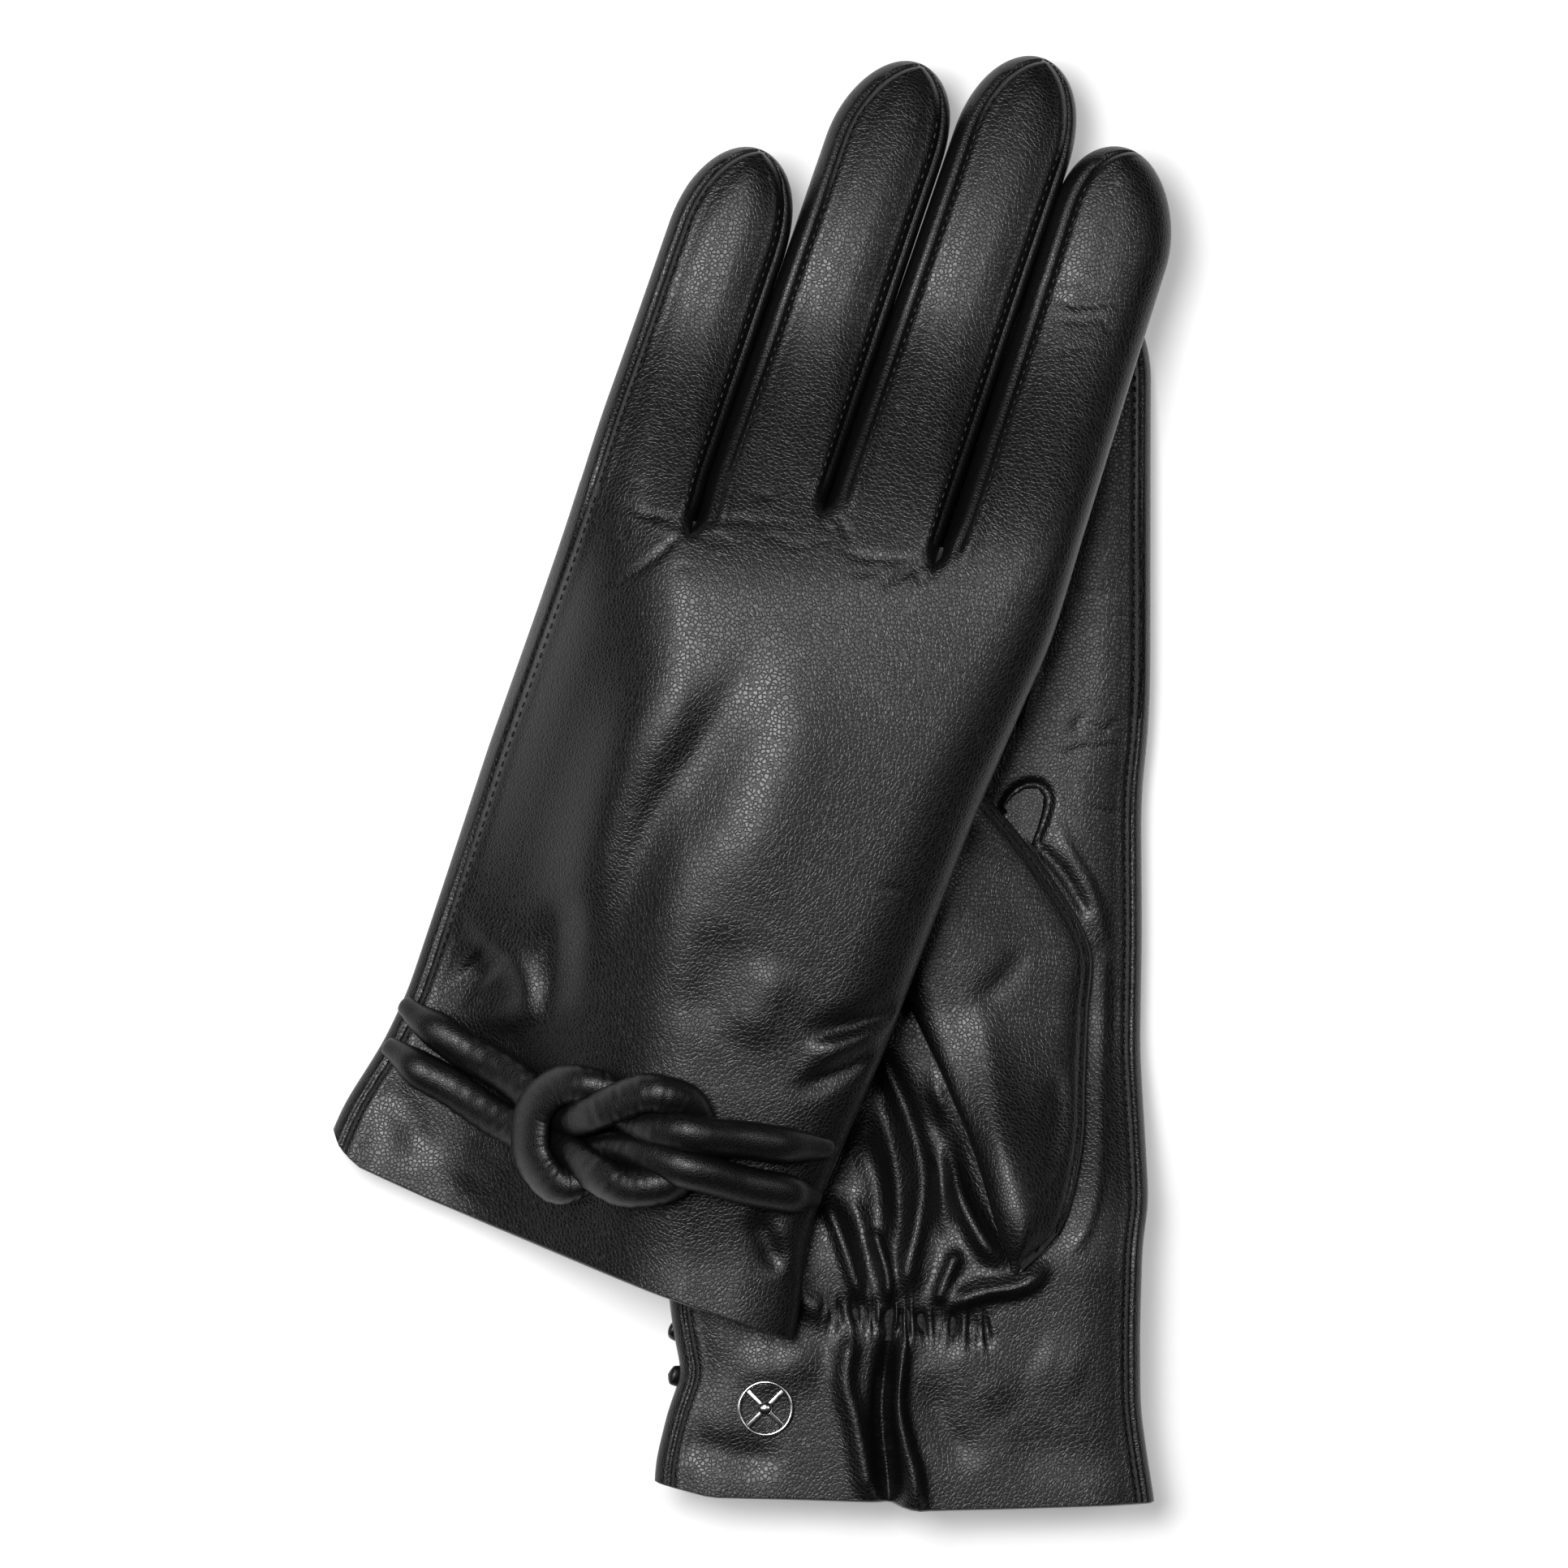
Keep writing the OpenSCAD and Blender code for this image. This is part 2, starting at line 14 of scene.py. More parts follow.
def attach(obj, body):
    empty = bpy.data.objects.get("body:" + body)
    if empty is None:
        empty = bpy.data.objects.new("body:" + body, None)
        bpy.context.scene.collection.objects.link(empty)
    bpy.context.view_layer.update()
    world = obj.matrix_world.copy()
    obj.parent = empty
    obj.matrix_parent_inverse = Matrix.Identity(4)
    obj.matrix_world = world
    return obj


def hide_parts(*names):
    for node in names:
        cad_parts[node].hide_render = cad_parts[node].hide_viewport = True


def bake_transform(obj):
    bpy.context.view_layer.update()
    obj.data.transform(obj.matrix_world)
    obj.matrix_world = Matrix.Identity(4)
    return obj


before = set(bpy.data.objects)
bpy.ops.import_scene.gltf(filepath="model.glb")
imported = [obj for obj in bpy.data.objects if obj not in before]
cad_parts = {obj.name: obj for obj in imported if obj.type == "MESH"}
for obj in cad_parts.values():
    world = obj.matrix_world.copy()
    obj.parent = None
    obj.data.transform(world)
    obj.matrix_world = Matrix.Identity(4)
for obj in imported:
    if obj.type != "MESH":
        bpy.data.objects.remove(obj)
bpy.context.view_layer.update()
random.seed(7)

# %% [markdown]
# ## How the two gloves lie
# The lower glove lies palm up, its cuff propped on its own knot. The upper glove lies back up
# across it and sags past its edge. Two height functions say where the middle of each glove runs,
# so every piece can be shaped flat and then laid down.

# %% Heights and placing
def smooth(t):
    t = np.clip(t, 0, 1)
    return t * t * (3 - 2 * t)

def mix(a, b, t):
    return a + (b - a) * t

def lower_base(y):
    return 6.5 + 12.8 * (1 - smooth((y - 42) / 53))

def upper_base(wx, wy):
    over = (31.5 + 4 * smooth((wy + 95) / 35) - 13.5 * smooth((wy - 35) / 60)
            - 6 * (np.maximum(0, wy - 100) / 42) ** 2)
    return 7.4 + (over - 7.4) * (1 - (1 - smooth((wx + 62) / 50)) * (1 - smooth((wy - 30) / 45)))

def soft_curve(knots, blur):
    """A smooth curve through (y, value) knots, blurred over a few millimetres."""
    ys = np.arange(-30, 280, 1.0)
    values = np.interp(ys, [k[0] for k in knots], [k[1] for k in knots])
    kernel = np.exp(-0.5 * (np.arange(-20, 21) / blur) ** 2)
    values = np.convolve(np.pad(values, 20, mode="edge"), kernel / kernel.sum(), mode="valid")
    return lambda y: np.interp(y, ys, values)

GLOVES = {
    "lower": dict(at=(29.8, -138.2), turn=0.0, side=-1, lean=(-0.3,) * 4, tip_slant=(0.5,) * 4,
                  left=soft_curve([(-3, 48.8), (5.7, 48.4), (16, 45.9), (23, 43.2), (29, 44.6), (37, 45.8),
                                   (84, 46), (139, 47)], 2),
                  right=soft_curve([(-3, 48.9), (6, 47.4), (16, 46), (31, 45.9), (48, 46.4), (56, 47.7),
                                    (68, 47.2), (85, 46.4), (108, 46.8), (139, 46.6), (150, 47.4)], 2.5)),
    "upper": dict(at=(-36.2, -88.4), turn=-20.0, side=1,
                  lean=(1.1, 1.25, 1.2, 2.3), tip_slant=(-0.4, -1.0, -0.2, 1.6),
                  left=soft_curve([(-3, 50.0), (3, 49.9), (9, 49.5), (16, 47.9), (23, 46.4), (34, 45.4),
                                   (49, 45.8), (84, 46.8), (130, 46.8)], 2.5),
                  right=soft_curve([(-3, 48.8), (4, 47.2), (19, 43.9), (35, 44.6), (55, 45.9), (104, 46.8),
                                    (142, 49.2), (150, 49.0)], 3.5)),
}
HEM = {"lower": [(-49, 2.1), (-38, -0.6), (-21, -1.0), (-3, -1.6), (0.3, -2.8), (3, -3.2), (20, -2.8),
                 (49, -1.9)],
       "upper": [(-50, 3.4), (-47.5, 0.6), (-43.4, -1.4), (-28, -2.6), (-15, -3.1), (0, -3.3), (19, -3.5),
                 (49, -3.1)]}

def hem(name, x):
    return np.interp(x, [h[0] for h in HEM[name]], [h[1] for h in HEM[name]])

def to_world(name, x, y):
    g, a = GLOVES[name], math.radians(GLOVES[name]["turn"])
    return x * math.cos(a) - y * math.sin(a) + g["at"][0], x * math.sin(a) + y * math.cos(a) + g["at"][1]

def place(name, x, y, z):
    """Hand millimetres to the pair's frame in metres, resting on the table where they would dip below."""
    wx, wy = to_world(name, x, y)
    base = upper_base(wx, wy) if name == "upper" else lower_base(y)
    return np.stack([wx, wy, np.maximum(base + GLOVES[name]["side"] * z, 0.15)], axis=-1) * 0.001

print("gloves:", ", ".join(GLOVES))

# %% [markdown]
# ## The shape of a flat glove
# A glove laid flat is a pillow over its own outline: full in the middle and rolling down to
# nothing at every edge. Four bands run its whole length, one to a finger. Below the crotches the
# bands are one sheet, and above them each band parts and rolls down to its own edges.

# %% Bands, edges and rolls
FINGERS = ["little", "ring", "middle", "index"]
CENTRE = [-35.6, -12.4, 10.9, 35.9]
ROOT = [139.0, 150.6, 150.6, 150.6]
TIP = [211.4, 238.0, 247.2, 236.0]
HALF = [11.9, 11.7, 11.85, 12.5]
CUT = [138.7, 150.3, 150.3, 150.3]
SHARE = [0.0, 0.245, 0.480, 0.727, 1.0]
CROTCH = [None, 139.8, 152.4, 149.6, None]
TIP_ROUND = 20.0     # length over which a fingertip closes
UPPER_CROWN = 3.4    # how much fuller the upper glove's back is than its palm
SLIT_ASIDE = 3.2     # the lower glove's slit beside the index lies this far towards the middle finger

def roll(d, r):
    """0 at an edge to 1 a distance r inside it, along a quarter ellipse."""
    t = np.clip(1 - d / r, 0, 1)
    return np.sqrt(np.maximum(0, 1 - t * t))

def across(s):
    """Columns across a band, closer together near its edges."""
    return 0.4 * (1 - np.cos(np.pi * s)) + 0.2 * s

def across_back(share):
    table = np.linspace(0, 1, 400)
    return np.interp(share, across(table), table)

def hand_rise(y):
    return 5.5 + smooth((y - 35) / 50) - 0.9 * smooth((y - 195) / 45)

def band_edges(name, k, y):
    g = GLOVES[name]
    left, right = g["left"](y), g["right"](y)
    middle = CENTRE[k] - (y - ROOT[k]) * math.tan(math.radians(g["lean"][k]))
    straight = TIP[k] - TIP_ROUND
    middle = middle - g["tip_slant"][k] * smooth((y - straight) / TIP_ROUND)
    thin = 1 - 0.015 * smooth((y - ROOT[k]) / (straight - ROOT[k]))
    half = HALF[k] * thin * np.sqrt(np.maximum(0, 1 - np.clip((y - straight) / TIP_ROUND, 0, 1) ** 2.25))
    seam_left, seam_right = (-left + (left + right) * SHARE[k + i] for i in (0, 1))
    open_left = smooth((y - 122) / 34) if k == 0 else smooth((y - CROTCH[k]) / 9)
    open_right = smooth((y - 128) / 34) if k == 3 else smooth((y - CROTCH[k + 1]) / 9)
    lo, hi = mix(seam_left, middle - half, open_left), mix(seam_right, middle + half, open_right)
    aside = SLIT_ASIDE * smooth((y - 120) / 25) * (1 - smooth((y - 172) / 30)) if name == "lower" else 0.0
    return lo - aside * (k == 3), hi - aside * (k == 2)

def band(name, k, s, y, inset=0.0, back=True):
    """x, height above the middle, and distances to the left and right edge, for the skin of a band."""
    lo, hi = band_edges(name, k, y)
    x = lo + (hi - lo) * across(s)
    d_left, d_right = x - lo, hi - x
    outer = mix(13.5, 10.0, smooth((y - 120) / 45))

    def inner(d, crotch):
        parted = smooth((y - (crotch - 5)) / 5.5)
        return 1 - parted * (1 - roll(d, 3.0 + 7 * smooth((y - crotch + 3) / 40)))

    full = roll(d_left, outer) if k == 0 else inner(d_left, CROTCH[k])
    full = full * (roll(d_right, outer) if k == 3 else inner(d_right, CROTCH[k + 1]))
    crown = 1 - np.clip(np.abs(x - 4) / 46, 0, 1) ** 2
    crown = crown * (1 - smooth((y - 105) / 47)) * smooth((y - 30) / 50)
    crown = crown * (UPPER_CROWN if name == "upper" and back else 0.0)
    crown = np.maximum(0, crown - inset)
    if inset:
        shrink = 1 - inset / np.maximum((hi - lo) / 2, inset)
        centre = (lo + hi) / 2
        wall_left = 1.0 if k == 0 else smooth((y - CROTCH[k]) / 3)
        wall_right = 1.0 if k == 3 else smooth((y - CROTCH[k + 1]) / 3)
        x = np.where(x < centre, mix(x, centre + (x - centre) * shrink, wall_left),
                     mix(x, centre + (x - centre) * shrink, wall_right))
    return x, np.maximum(0, hand_rise(y) + crown - inset) * full, full, d_left, d_right

print("bands:", len(FINGERS))

# %% [markdown]
# ## Folds
# Leather that has been worn and smoothed flat keeps soft folds: a valley down the back of the
# hand, a dent at the wrist, gathers where elastic pulls the palm in, one deep pleat, and fine
# creases at the knuckles. Each fold is a path with a height and a width. The skin's height gets
# the sum of them, which gives control of every fold and the same result on each run.

# %% Fold shapes
def through(points, steps=8):
    """A smooth path through a few points."""
    p = np.array(points, float)
    p = np.vstack([2 * p[0] - p[1], p, 2 * p[-1] - p[-2]])
    out = []
    for i in range(1, len(p) - 2):
        t = np.linspace(0, 1, steps, endpoint=False)[:, None]
        a, b, c, d = p[i - 1:i + 3]
        out.append(0.5 * (2 * b + (c - a) * t + (2 * a - 5 * b + 4 * c - d) * t ** 2
                          + (3 * b - a - 3 * c + d) * t ** 3))
    return np.vstack(out + [p[-2][None]])

def fold(x, y, height, width, points, lean=0.0, ends=0.35):
    """Height of one fold at x, y. A lean makes its left side wider than its right."""
    path = through(points, 5) if len(points) > 2 else np.array(points, float)
    steps = np.diff(path, axis=0)
    lengths = np.hypot(steps[:, 0], steps[:, 1])
    best, side, along, done = np.full(x.shape, 1e9), np.zeros(x.shape), np.zeros(x.shape), 0.0
    for a, d, length in zip(path[:-1], steps, lengths):
        t = np.clip(((x - a[0]) * d[0] + (y - a[1]) * d[1]) / length ** 2, 0, 1)
        dx, dy = x - a[0] - t * d[0], y - a[1] - t * d[1]
        dist = np.hypot(dx, dy)
        near = dist < best
        best = np.where(near, dist, best)
        side = np.where(near, np.sign(d[0] * dy - d[1] * dx), side)
        along = np.where(near, (done + t * length) / lengths.sum(), along)
        done += length
    taper = smooth(along / ends) * smooth((1 - along) / ends) if ends else 1.0
    return height * np.exp(-(best / (width * (1 + lean * side))) ** 2) * taper

BACK_FOLDS = [
    (-2.9, 7.0, [(0, 126), (-6, 104), (-10, 82), (-9, 60), (-5, 38)], 0.25, 0.5),
    (0.8, 9.0, [(5, 122), (8, 100), (9, 70)]),
    (1.6, 6.5, [(-20, 116), (-21.5, 92), (-20, 70), (-14, 48)]),
    (1.5, 3.0, [(-43.5, 56), (-35.3, 50), (-26.7, 46), (-22.6, 39), (-28, 34.5), (-36, 35.5)]),
    (-1.2, 4.5, [(-37, 44), (-30, 41)]),
    (-1.9, 3.8, [(-23, 64), (-19.6, 50), (-16.5, 37)]),
    (-1.5, 2.2, [(50, 68), (40, 59), (29, 51.5)], -0.3),
    (1.0, 3.0, [(47, 61), (38, 53), (31, 48)]),
    (-1.2, 2.0, [(46, 57), (38, 48), (31, 41)]),
    (0.7, 5.0, [(22, 66), (20, 46)]),
    (-0.5, 6.0, [(10, 70), (9, 44)]),
    (-1.4, 2.4, [(32, 18), (37, 13), (42, 7.5)]),
    (0.8, 2.6, [(37, 19), (42, 13), (46, 8)]),
    (-0.9, 4.0, [(-45, 17), (-36, 10), (-30, 2)]),
    (0.6, 4.5, [(-18, 14), (-22, 0)]),
    (-0.5, 5.0, [(4, 12), (2, -2)]),
    (-0.26, 0.8, [(-41.3, 138.2), (-33, 136.5), (-24.8, 138.1)]),
    (-0.34, 0.9, [(-23.5, 137.9), (-29, 128), (-36.7, 117.3)]),
    (-0.2, 0.8, [(-24, 138.5), (-16, 141.5), (-7.9, 143.6)]),
    (-0.22, 0.8, [(3, 143.5), (9.1, 143), (16, 145), (22.4, 147.6)]),
    (-0.35, 0.8, [(22.4, 147.8), (18, 143), (15, 138)]),
    (-0.24, 0.6, [(33.4, 84.1), (37, 85.4), (41.1, 84.1)]),
    (-0.28, 0.7, [(25.9, 203), (33, 204), (40.8, 208.4)]),
    (-0.2, 0.6, [(28, 199.5), (34, 201), (40, 204)]),
]
PALM_FOLDS = [
    (1.9, 2.1, [(-6, 88), (0.5, 74), (3.6, 62), (2.5, 52), (0.9, 45), (0.4, 37)], 0.0, 0.12),
    (-1.9, 1.8, [(5, 84), (7.5, 70), (7.6, 56), (8, 48)]),
    (2.6, 2.0, [(5.5, 78), (9.5, 61), (14.5, 50), (20, 42.5)], 0.0, 0.2),
    (-1.6, 2.2, [(-6.5, 80), (-2.5, 66), (-1.4, 54), (-1.6, 44)]),
    (1.3, 2.8, [(-11, 72), (-5, 60), (-5, 46)]),
    (1.5, 1.5, [(-15.5, 58), (-11.4, 47), (-8.2, 36.5)], 0.0, 0.2),
    (-1.2, 1.8, [(-12, 60), (-8, 50), (-6.4, 38)]),
    (1.6, 1.3, [(-6.5, 52), (-3.6, 43), (-3, 36.5)], 0.0, 0.2),
    (1.5, 1.4, [(10.5, 47.5), (7.8, 41), (6, 36.2)], 0.0, 0.2),
    (2.0, 2.0, [(6.5, 35.6), (15, 38.6), (23.6, 40.4), (28.4, 45.5)], 0.3, 0.25),
    (1.3, 2.6, [(-22, 46), (-20, 38), (-12, 34)]),
    (1.9, 2.0, [(-10, 32), (-11.2, 22), (-9.4, 14), (-6.2, -2)], -0.2, 0.15),
    (-5.4, 1.7, [(-1.6, 35), (-3.4, 26), (-4.3, 15), (-3.2, 2), (-2.6, -12)], 0.0, 0.3),
    (2.7, 2.1, [(1.4, 35), (-0.6, 26), (-1.2, 17), (0.4, 9), (2.0, 3), (3.6, -12)], -0.35, 0.3),
    (-0.7, 3.2, [(3.6, 24), (7.8, 12), (16, 5)]),
    (0.6, 5.0, [(7, 31), (13.6, 24), (21, 15)]),
    (0.8, 4.5, [(-34, 26), (-24, 24), (-16, 30)]),
    (-0.8, 3.5, [(-44, 12), (-36, 8), (-22, 6)]),
    (-0.4, 5.0, [(18, 10), (34, 7), (44, 4)]),
    (0.4, 5.0, [(24, 26), (36, 22)]),
    (0.5, 1.4, [(39.0, 106), (39.2, 94), (38.8, 78), (38.0, 62), (35.4, 51), (31, 45)], -0.3, 0.12),
    (0.6, 1.6, [(29.5, 131), (32.6, 124.5), (36.4, 117.5), (38.8, 110.5), (39.4, 104)], -0.4, 0.3),
    (-1.3, 0.8, [(18.6, 131.6), (20.8, 135.2), (23.6, 137.2), (26.6, 137.2), (28.2, 135), (27.8, 132),
                 (26.6, 128.4), (25, 125.2)], 0.0, 0.08),
    (-0.8, 1.1, [(24.6, 127), (26.6, 125), (31.8, 119), (36.2, 111)], 0.0, 0.2),
    (-0.22, 0.6, [(31, 147), (35, 149), (41, 147.5)]),
    (-0.22, 0.6, [(30, 143), (36, 144.6), (40, 143.5)]),
    (-0.3, 0.8, [(30.5, 176), (37, 174), (43, 176)]),
]

def fine_creases(count, centre, spread, length, turn):
    """Short shallow creases scattered round a knuckle."""
    out = []
    for _ in range(count):
        cx, cy = random.gauss(centre[0], spread[0]), random.gauss(centre[1], spread[1])
        a = math.radians(random.gauss(turn, 28))
        reach, bow = random.uniform(*length) / 2, random.uniform(-0.9, 0.9)
        dx, dy = math.cos(a), math.sin(a)
        out.append((random.uniform(-0.2, -0.08), random.uniform(0.4, 0.65),
                    [(cx - dx * reach, cy - dy * reach), (cx - dy * bow, cy + dx * bow),
                     (cx + dx * reach, cy + dy * reach)]))
    return out

for crotch_x, crotch_y in ((-24, 138), (-1.4, 147), (22.5, 146)):
    BACK_FOLDS += fine_creases(9, (crotch_x, crotch_y - 3), (4.5, 4), (4, 8), 15)
BACK_FOLDS += fine_creases(7, (33, 203), (5, 4), (4, 8), 20)
BACK_FOLDS += fine_creases(6, (-36, 133), (4, 6), (5, 9), -20)
PALM_FOLDS += fine_creases(9, (38, 146), (4, 6), (4, 8), 10)
PALM_FOLDS += fine_creases(6, (38, 175), (4, 5), (4, 8), 0)

def gathers(x, y):
    """The puckers that the elastic pulls into the palm, and the pinch along its stitching."""
    line = 35.4 - (x + 14.5) * 0.117
    inside = smooth((x + 17.5) / 4) * smooth((19 - x) / 4)
    off = y - line
    spacing = 2 * np.pi * (x + 0.7 * np.sin(x * 0.9) + 0.12 * off * np.sin(x * 0.5)) / 2.2
    reach = 2.6 + 1.3 * np.sin(x * 1.7)
    puckers = (0.95 + 0.3 * np.sin(x * 2.3)) * np.cos(spacing) * np.exp(-(off / reach) ** 2)
    return inside * (puckers - 0.7 * np.exp(-(off / 2.6) ** 2))

HIDDEN_FOLDS = 16    # a side that lies face down keeps only its first, larger folds

def relief(name, back, x, y):
    """Everything that lifts or dents the skin, in millimetres."""
    waves = 0.12 * np.sin(x * 0.11 + 1.3 + 0.7 * np.sin(y * 0.05)) * np.sin(y * 0.083 + 0.4)
    folds = BACK_FOLDS if back else PALM_FOLDS
    if name == "lower" and back or name == "upper" and not back:
        folds = folds[:HIDDEN_FOLDS]
    total = waves + sum(fold(x, y, *f) for f in folds)
    if not back:
        total = total + gathers(x, y)
    return total

print("folds on the back:", len(BACK_FOLDS), "on the palm:", len(PALM_FOLDS))

# %% [markdown]
# ## Sheets of leather
# Each piece starts as a plain grid. Its columns run across the hand and its rows run from hem to
# fingertip, and every vertex is carried from the grid to its place on the glove, as a cutter lays
# a flat skin on a last. Seams are grooves in the same shape, so neighbouring pieces meet exactly.

# %% Skin and grid helpers
SEAM_LEFT = [2.9, 3.3, 3.3, 3.5]
SEAM_RIGHT = [1.8, 1.8, 1.8, 2.3]

def seam_groove(name, k, back, d_left, d_right, y):
    """Seams run the length of every finger and down both edges of the hand."""
    left, right = SEAM_LEFT[k], SEAM_RIGHT[k]
    up_left = 1.0 if k == 0 else smooth((y - CROTCH[k] + 2) / 5)
    up_right = 1.0 if k == 3 else smooth((y - CROTCH[k + 1] + 2) / 5)
    if k == 3 and name == "upper" and back:
        up_right = 0.0
    dip = up_left * np.exp(-((d_left - left) / 0.5) ** 2) + up_right * np.exp(-((d_right - right) / 0.5) ** 2)
    puff = (up_left * np.exp(-((d_left - left - 1.5) / 0.9) ** 2)
            + up_right * np.exp(-((d_right - right - 1.5) / 0.9) ** 2))
    return 0.3 * puff - 0.85 * dip

def skin(name, k, s, y, back, inset=0.0):
    """Places points of the glove's skin: s across band k, y along it, on the back or the palm."""
    x, z, full, d_left, d_right = band(name, k, s, y, inset, back)
    extra = relief(name, back, x, y) * smooth(full * 1.2)
    if not inset:
        extra = extra + seam_groove(name, k, back, d_left, d_right, y) * smooth(full * 2)
    z = np.maximum(z + extra, 0.12 * full)
    return place(name, x, y, z if back else -z)

def grid(columns, rows, shape):
    """A grid whose vertices are placed by shape(u, v), each from 0 to 1."""
    bm = bmesh.new()
    bmesh.ops.create_grid(bm, x_segments=columns, y_segments=rows, size=1.0)
    co = np.array([v.co[:2] for v in bm.verts])
    spots = shape((co[:, 0] + 1) / 2, (co[:, 1] + 1) / 2)
    for vert, spot in zip(bm.verts, spots):
        vert.co = spot
    return bm

def joined(parts):
    bm, carrier = bmesh.new(), bpy.data.meshes.new("carrier")
    for part in parts:
        part.to_mesh(carrier)
        part.free()
        bm.from_mesh(carrier)
    bpy.data.meshes.remove(carrier)
    return bm

def piece(name, bm, material, away=None, weld=2e-5):
    """Welds, faces outwards and smooths a shape, and links it as an object at the origin."""
    bmesh.ops.remove_doubles(bm, verts=bm.verts, dist=weld)
    bmesh.ops.dissolve_degenerate(bm, edges=bm.edges, dist=1e-7)
    bmesh.ops.recalc_face_normals(bm, faces=bm.faces)
    centre = sum((v.co for v in bm.verts), Vector()) / len(bm.verts)
    if away is None:
        out = sum((f.calc_center_median() - centre).dot(f.normal) * f.calc_area() for f in bm.faces)
    else:
        out = sum(f.normal.dot(Vector(away)) * f.calc_area() for f in bm.faces)
    if out < 0:
        bmesh.ops.reverse_faces(bm, faces=bm.faces)
    name = f"finished_{name}"
    mesh = bpy.data.meshes.new(name)
    bm.to_mesh(mesh)
    bm.free()
    mesh.polygons.foreach_set("use_smooth", [True] * len(mesh.polygons))
    mesh.materials.append(material)
    obj = bpy.data.objects.new(name, mesh)
    bpy.context.scene.collection.objects.link(obj)
    return obj

def placeholder(name):
    return bpy.data.materials.get(name) or bpy.data.materials.new(name)

NAPPA, STRIP_NAPPA = placeholder("pebbled_nappa_leather"), placeholder("strip_nappa_leather")
CORD_NAPPA, KNIT = placeholder("padded_cord_leather"), placeholder("ribbed_knit_lining")
ELASTIC, NICKEL = placeholder("woven_elastic"), placeholder("polished_nickel")
THREAD = placeholder("waxed_thread")
print("helpers ready")

# %% [markdown]
# ## Hand panels
# The back and the palm of the hand are one cut each, from the hem to the crotches. The palm of
# the lower glove faces up and carries the gathers and the pleat, so it gets the finest grid.

# %% Backs and palms
def hand_panel(name, back, columns, rows):
    def one(k):
        def shape(u, v):
            lo, hi = band_edges(name, k, np.zeros_like(u) + 2.0)
            start = hem(name, lo + (hi - lo) * across(u))
            y = start + (CUT[k] - start) * v
            return skin(name, k, u, y, back)
        return grid(columns, rows, shape)
    away = (0, 0, GLOVES[name]["side"] * (1 if back else -1))
    label = "back" if back else "palm"
    obj = piece(f"{name}_hand_{label}", joined([one(k) for k in range(4)]), NAPPA, away)
    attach(obj, f"{name}_hand")
    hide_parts(f"{name}_{label}_panel")
    return obj

fine = {("upper", True): (44, 200), ("lower", False): (52, 250)}
for name in GLOVES:
    for back in (True, False):
        panel = hand_panel(name, back, *fine.get((name, back), (20, 80)))
        print(panel.name, len(panel.data.polygons), "faces")

# %% [markdown]
# ## Fingers
# A finger is a flat tube. On the real glove it is a back, a front and thin side strips called
# fourchettes. One rule wraps all of them: turn runs once round the tube, 0 to 0.5 over the back
# and 0.5 to 1 over the front, and each piece takes its own part of the turn. A finger bends away
# from the hand over its first few millimetres.

# %% Finger pieces
def finger_part(name, k, label, turns, columns, rows, inset=0.0, material=NAPPA):
    def strip(first, last):
        def shape(u, v):
            y = CUT[k] + (TIP[k] - inset * 1.2 - CUT[k]) * (1 - (1 - v) ** 1.5)
            lo, hi = band_edges(name, k, y)
            width = np.maximum(hi - lo, 0.5)
            turn = first(width) * (1 - u) + last(width) * u
            turn = turn % 1.0
            s = np.where(turn < 0.5, turn * 2, 2 - turn * 2)
            return np.where((turn < 0.5)[:, None], skin(name, k, s, y, True, inset),
                            skin(name, k, s, y, False, inset))
        return grid(columns, rows, shape)
    parts = [strip(*pair) for pair in turns]
    obj = piece(f"{name}_{FINGERS[k]}_{label}", joined(parts), material)
    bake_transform(obj)
    return obj

def back_left(k):
    share = SEAM_LEFT[k] / 23.0
    return lambda w: across_back(np.minimum(SEAM_LEFT[k] / w, share * 1.15)) / 2

def back_right(k):
    share = SEAM_RIGHT[k] / 23.0
    return lambda w: across_back(1 - np.minimum(SEAM_RIGHT[k] / w, share * 1.3)) / 2

def flipped(rule):
    return lambda w: 1 - rule(w)

for name in GLOVES:
    dense = 1.0 if name == "upper" else 0.8
    rows = int(120 * dense)
    for k, finger in enumerate(FINGERS):
        left, right = back_left(k), back_right(k)
        back_turns = [(left, (lambda w: 0.5 + 0 * w) if k == 3 else right)]
        front_turns = [(flipped(right) if k < 3 else (lambda w: 0.5 + 0 * w),
                        (lambda w: 1 + left(w)) if k == 0 else flipped(left))]
        sides = []
        if k > 0:
            sides.append((lambda w, left=left: 1 - left(w), lambda w, left=left: 1 + left(w)))
        if k < 3:
            sides.append((right, flipped(right)))
        finger_back = finger_part(name, k, "back", back_turns, int(34 * dense), rows)
        finger_front = finger_part(name, k, "front", front_turns, int(34 * dense), rows)
        strips = finger_part(name, k, "fourchettes" if len(sides) > 1 else "fourchette", sides, 12, rows,
                             material=STRIP_NAPPA)
        knit = finger_part(name, k, "lining", [(lambda w: 0 * w, lambda w: 0.9999 + 0 * w)], 36, 24, 1.3,
                           KNIT)
        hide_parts(f"{name}_{finger}_back")
        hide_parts(f"{name}_{finger}_front")
        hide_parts(f"{name}_{finger}_" + ("fourchettes" if len(sides) > 1 else "fourchette"))
        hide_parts(f"{name}_{finger}_lining")
    print(name, "fingers done")

# %% [markdown]
# ## Inside the cuff
# The hem is turned in: the leather rolls over a soft edge and runs 14 mm inside as a facing, and a
# thin knitted lining is sewn to it. Both follow the skin a little further in.

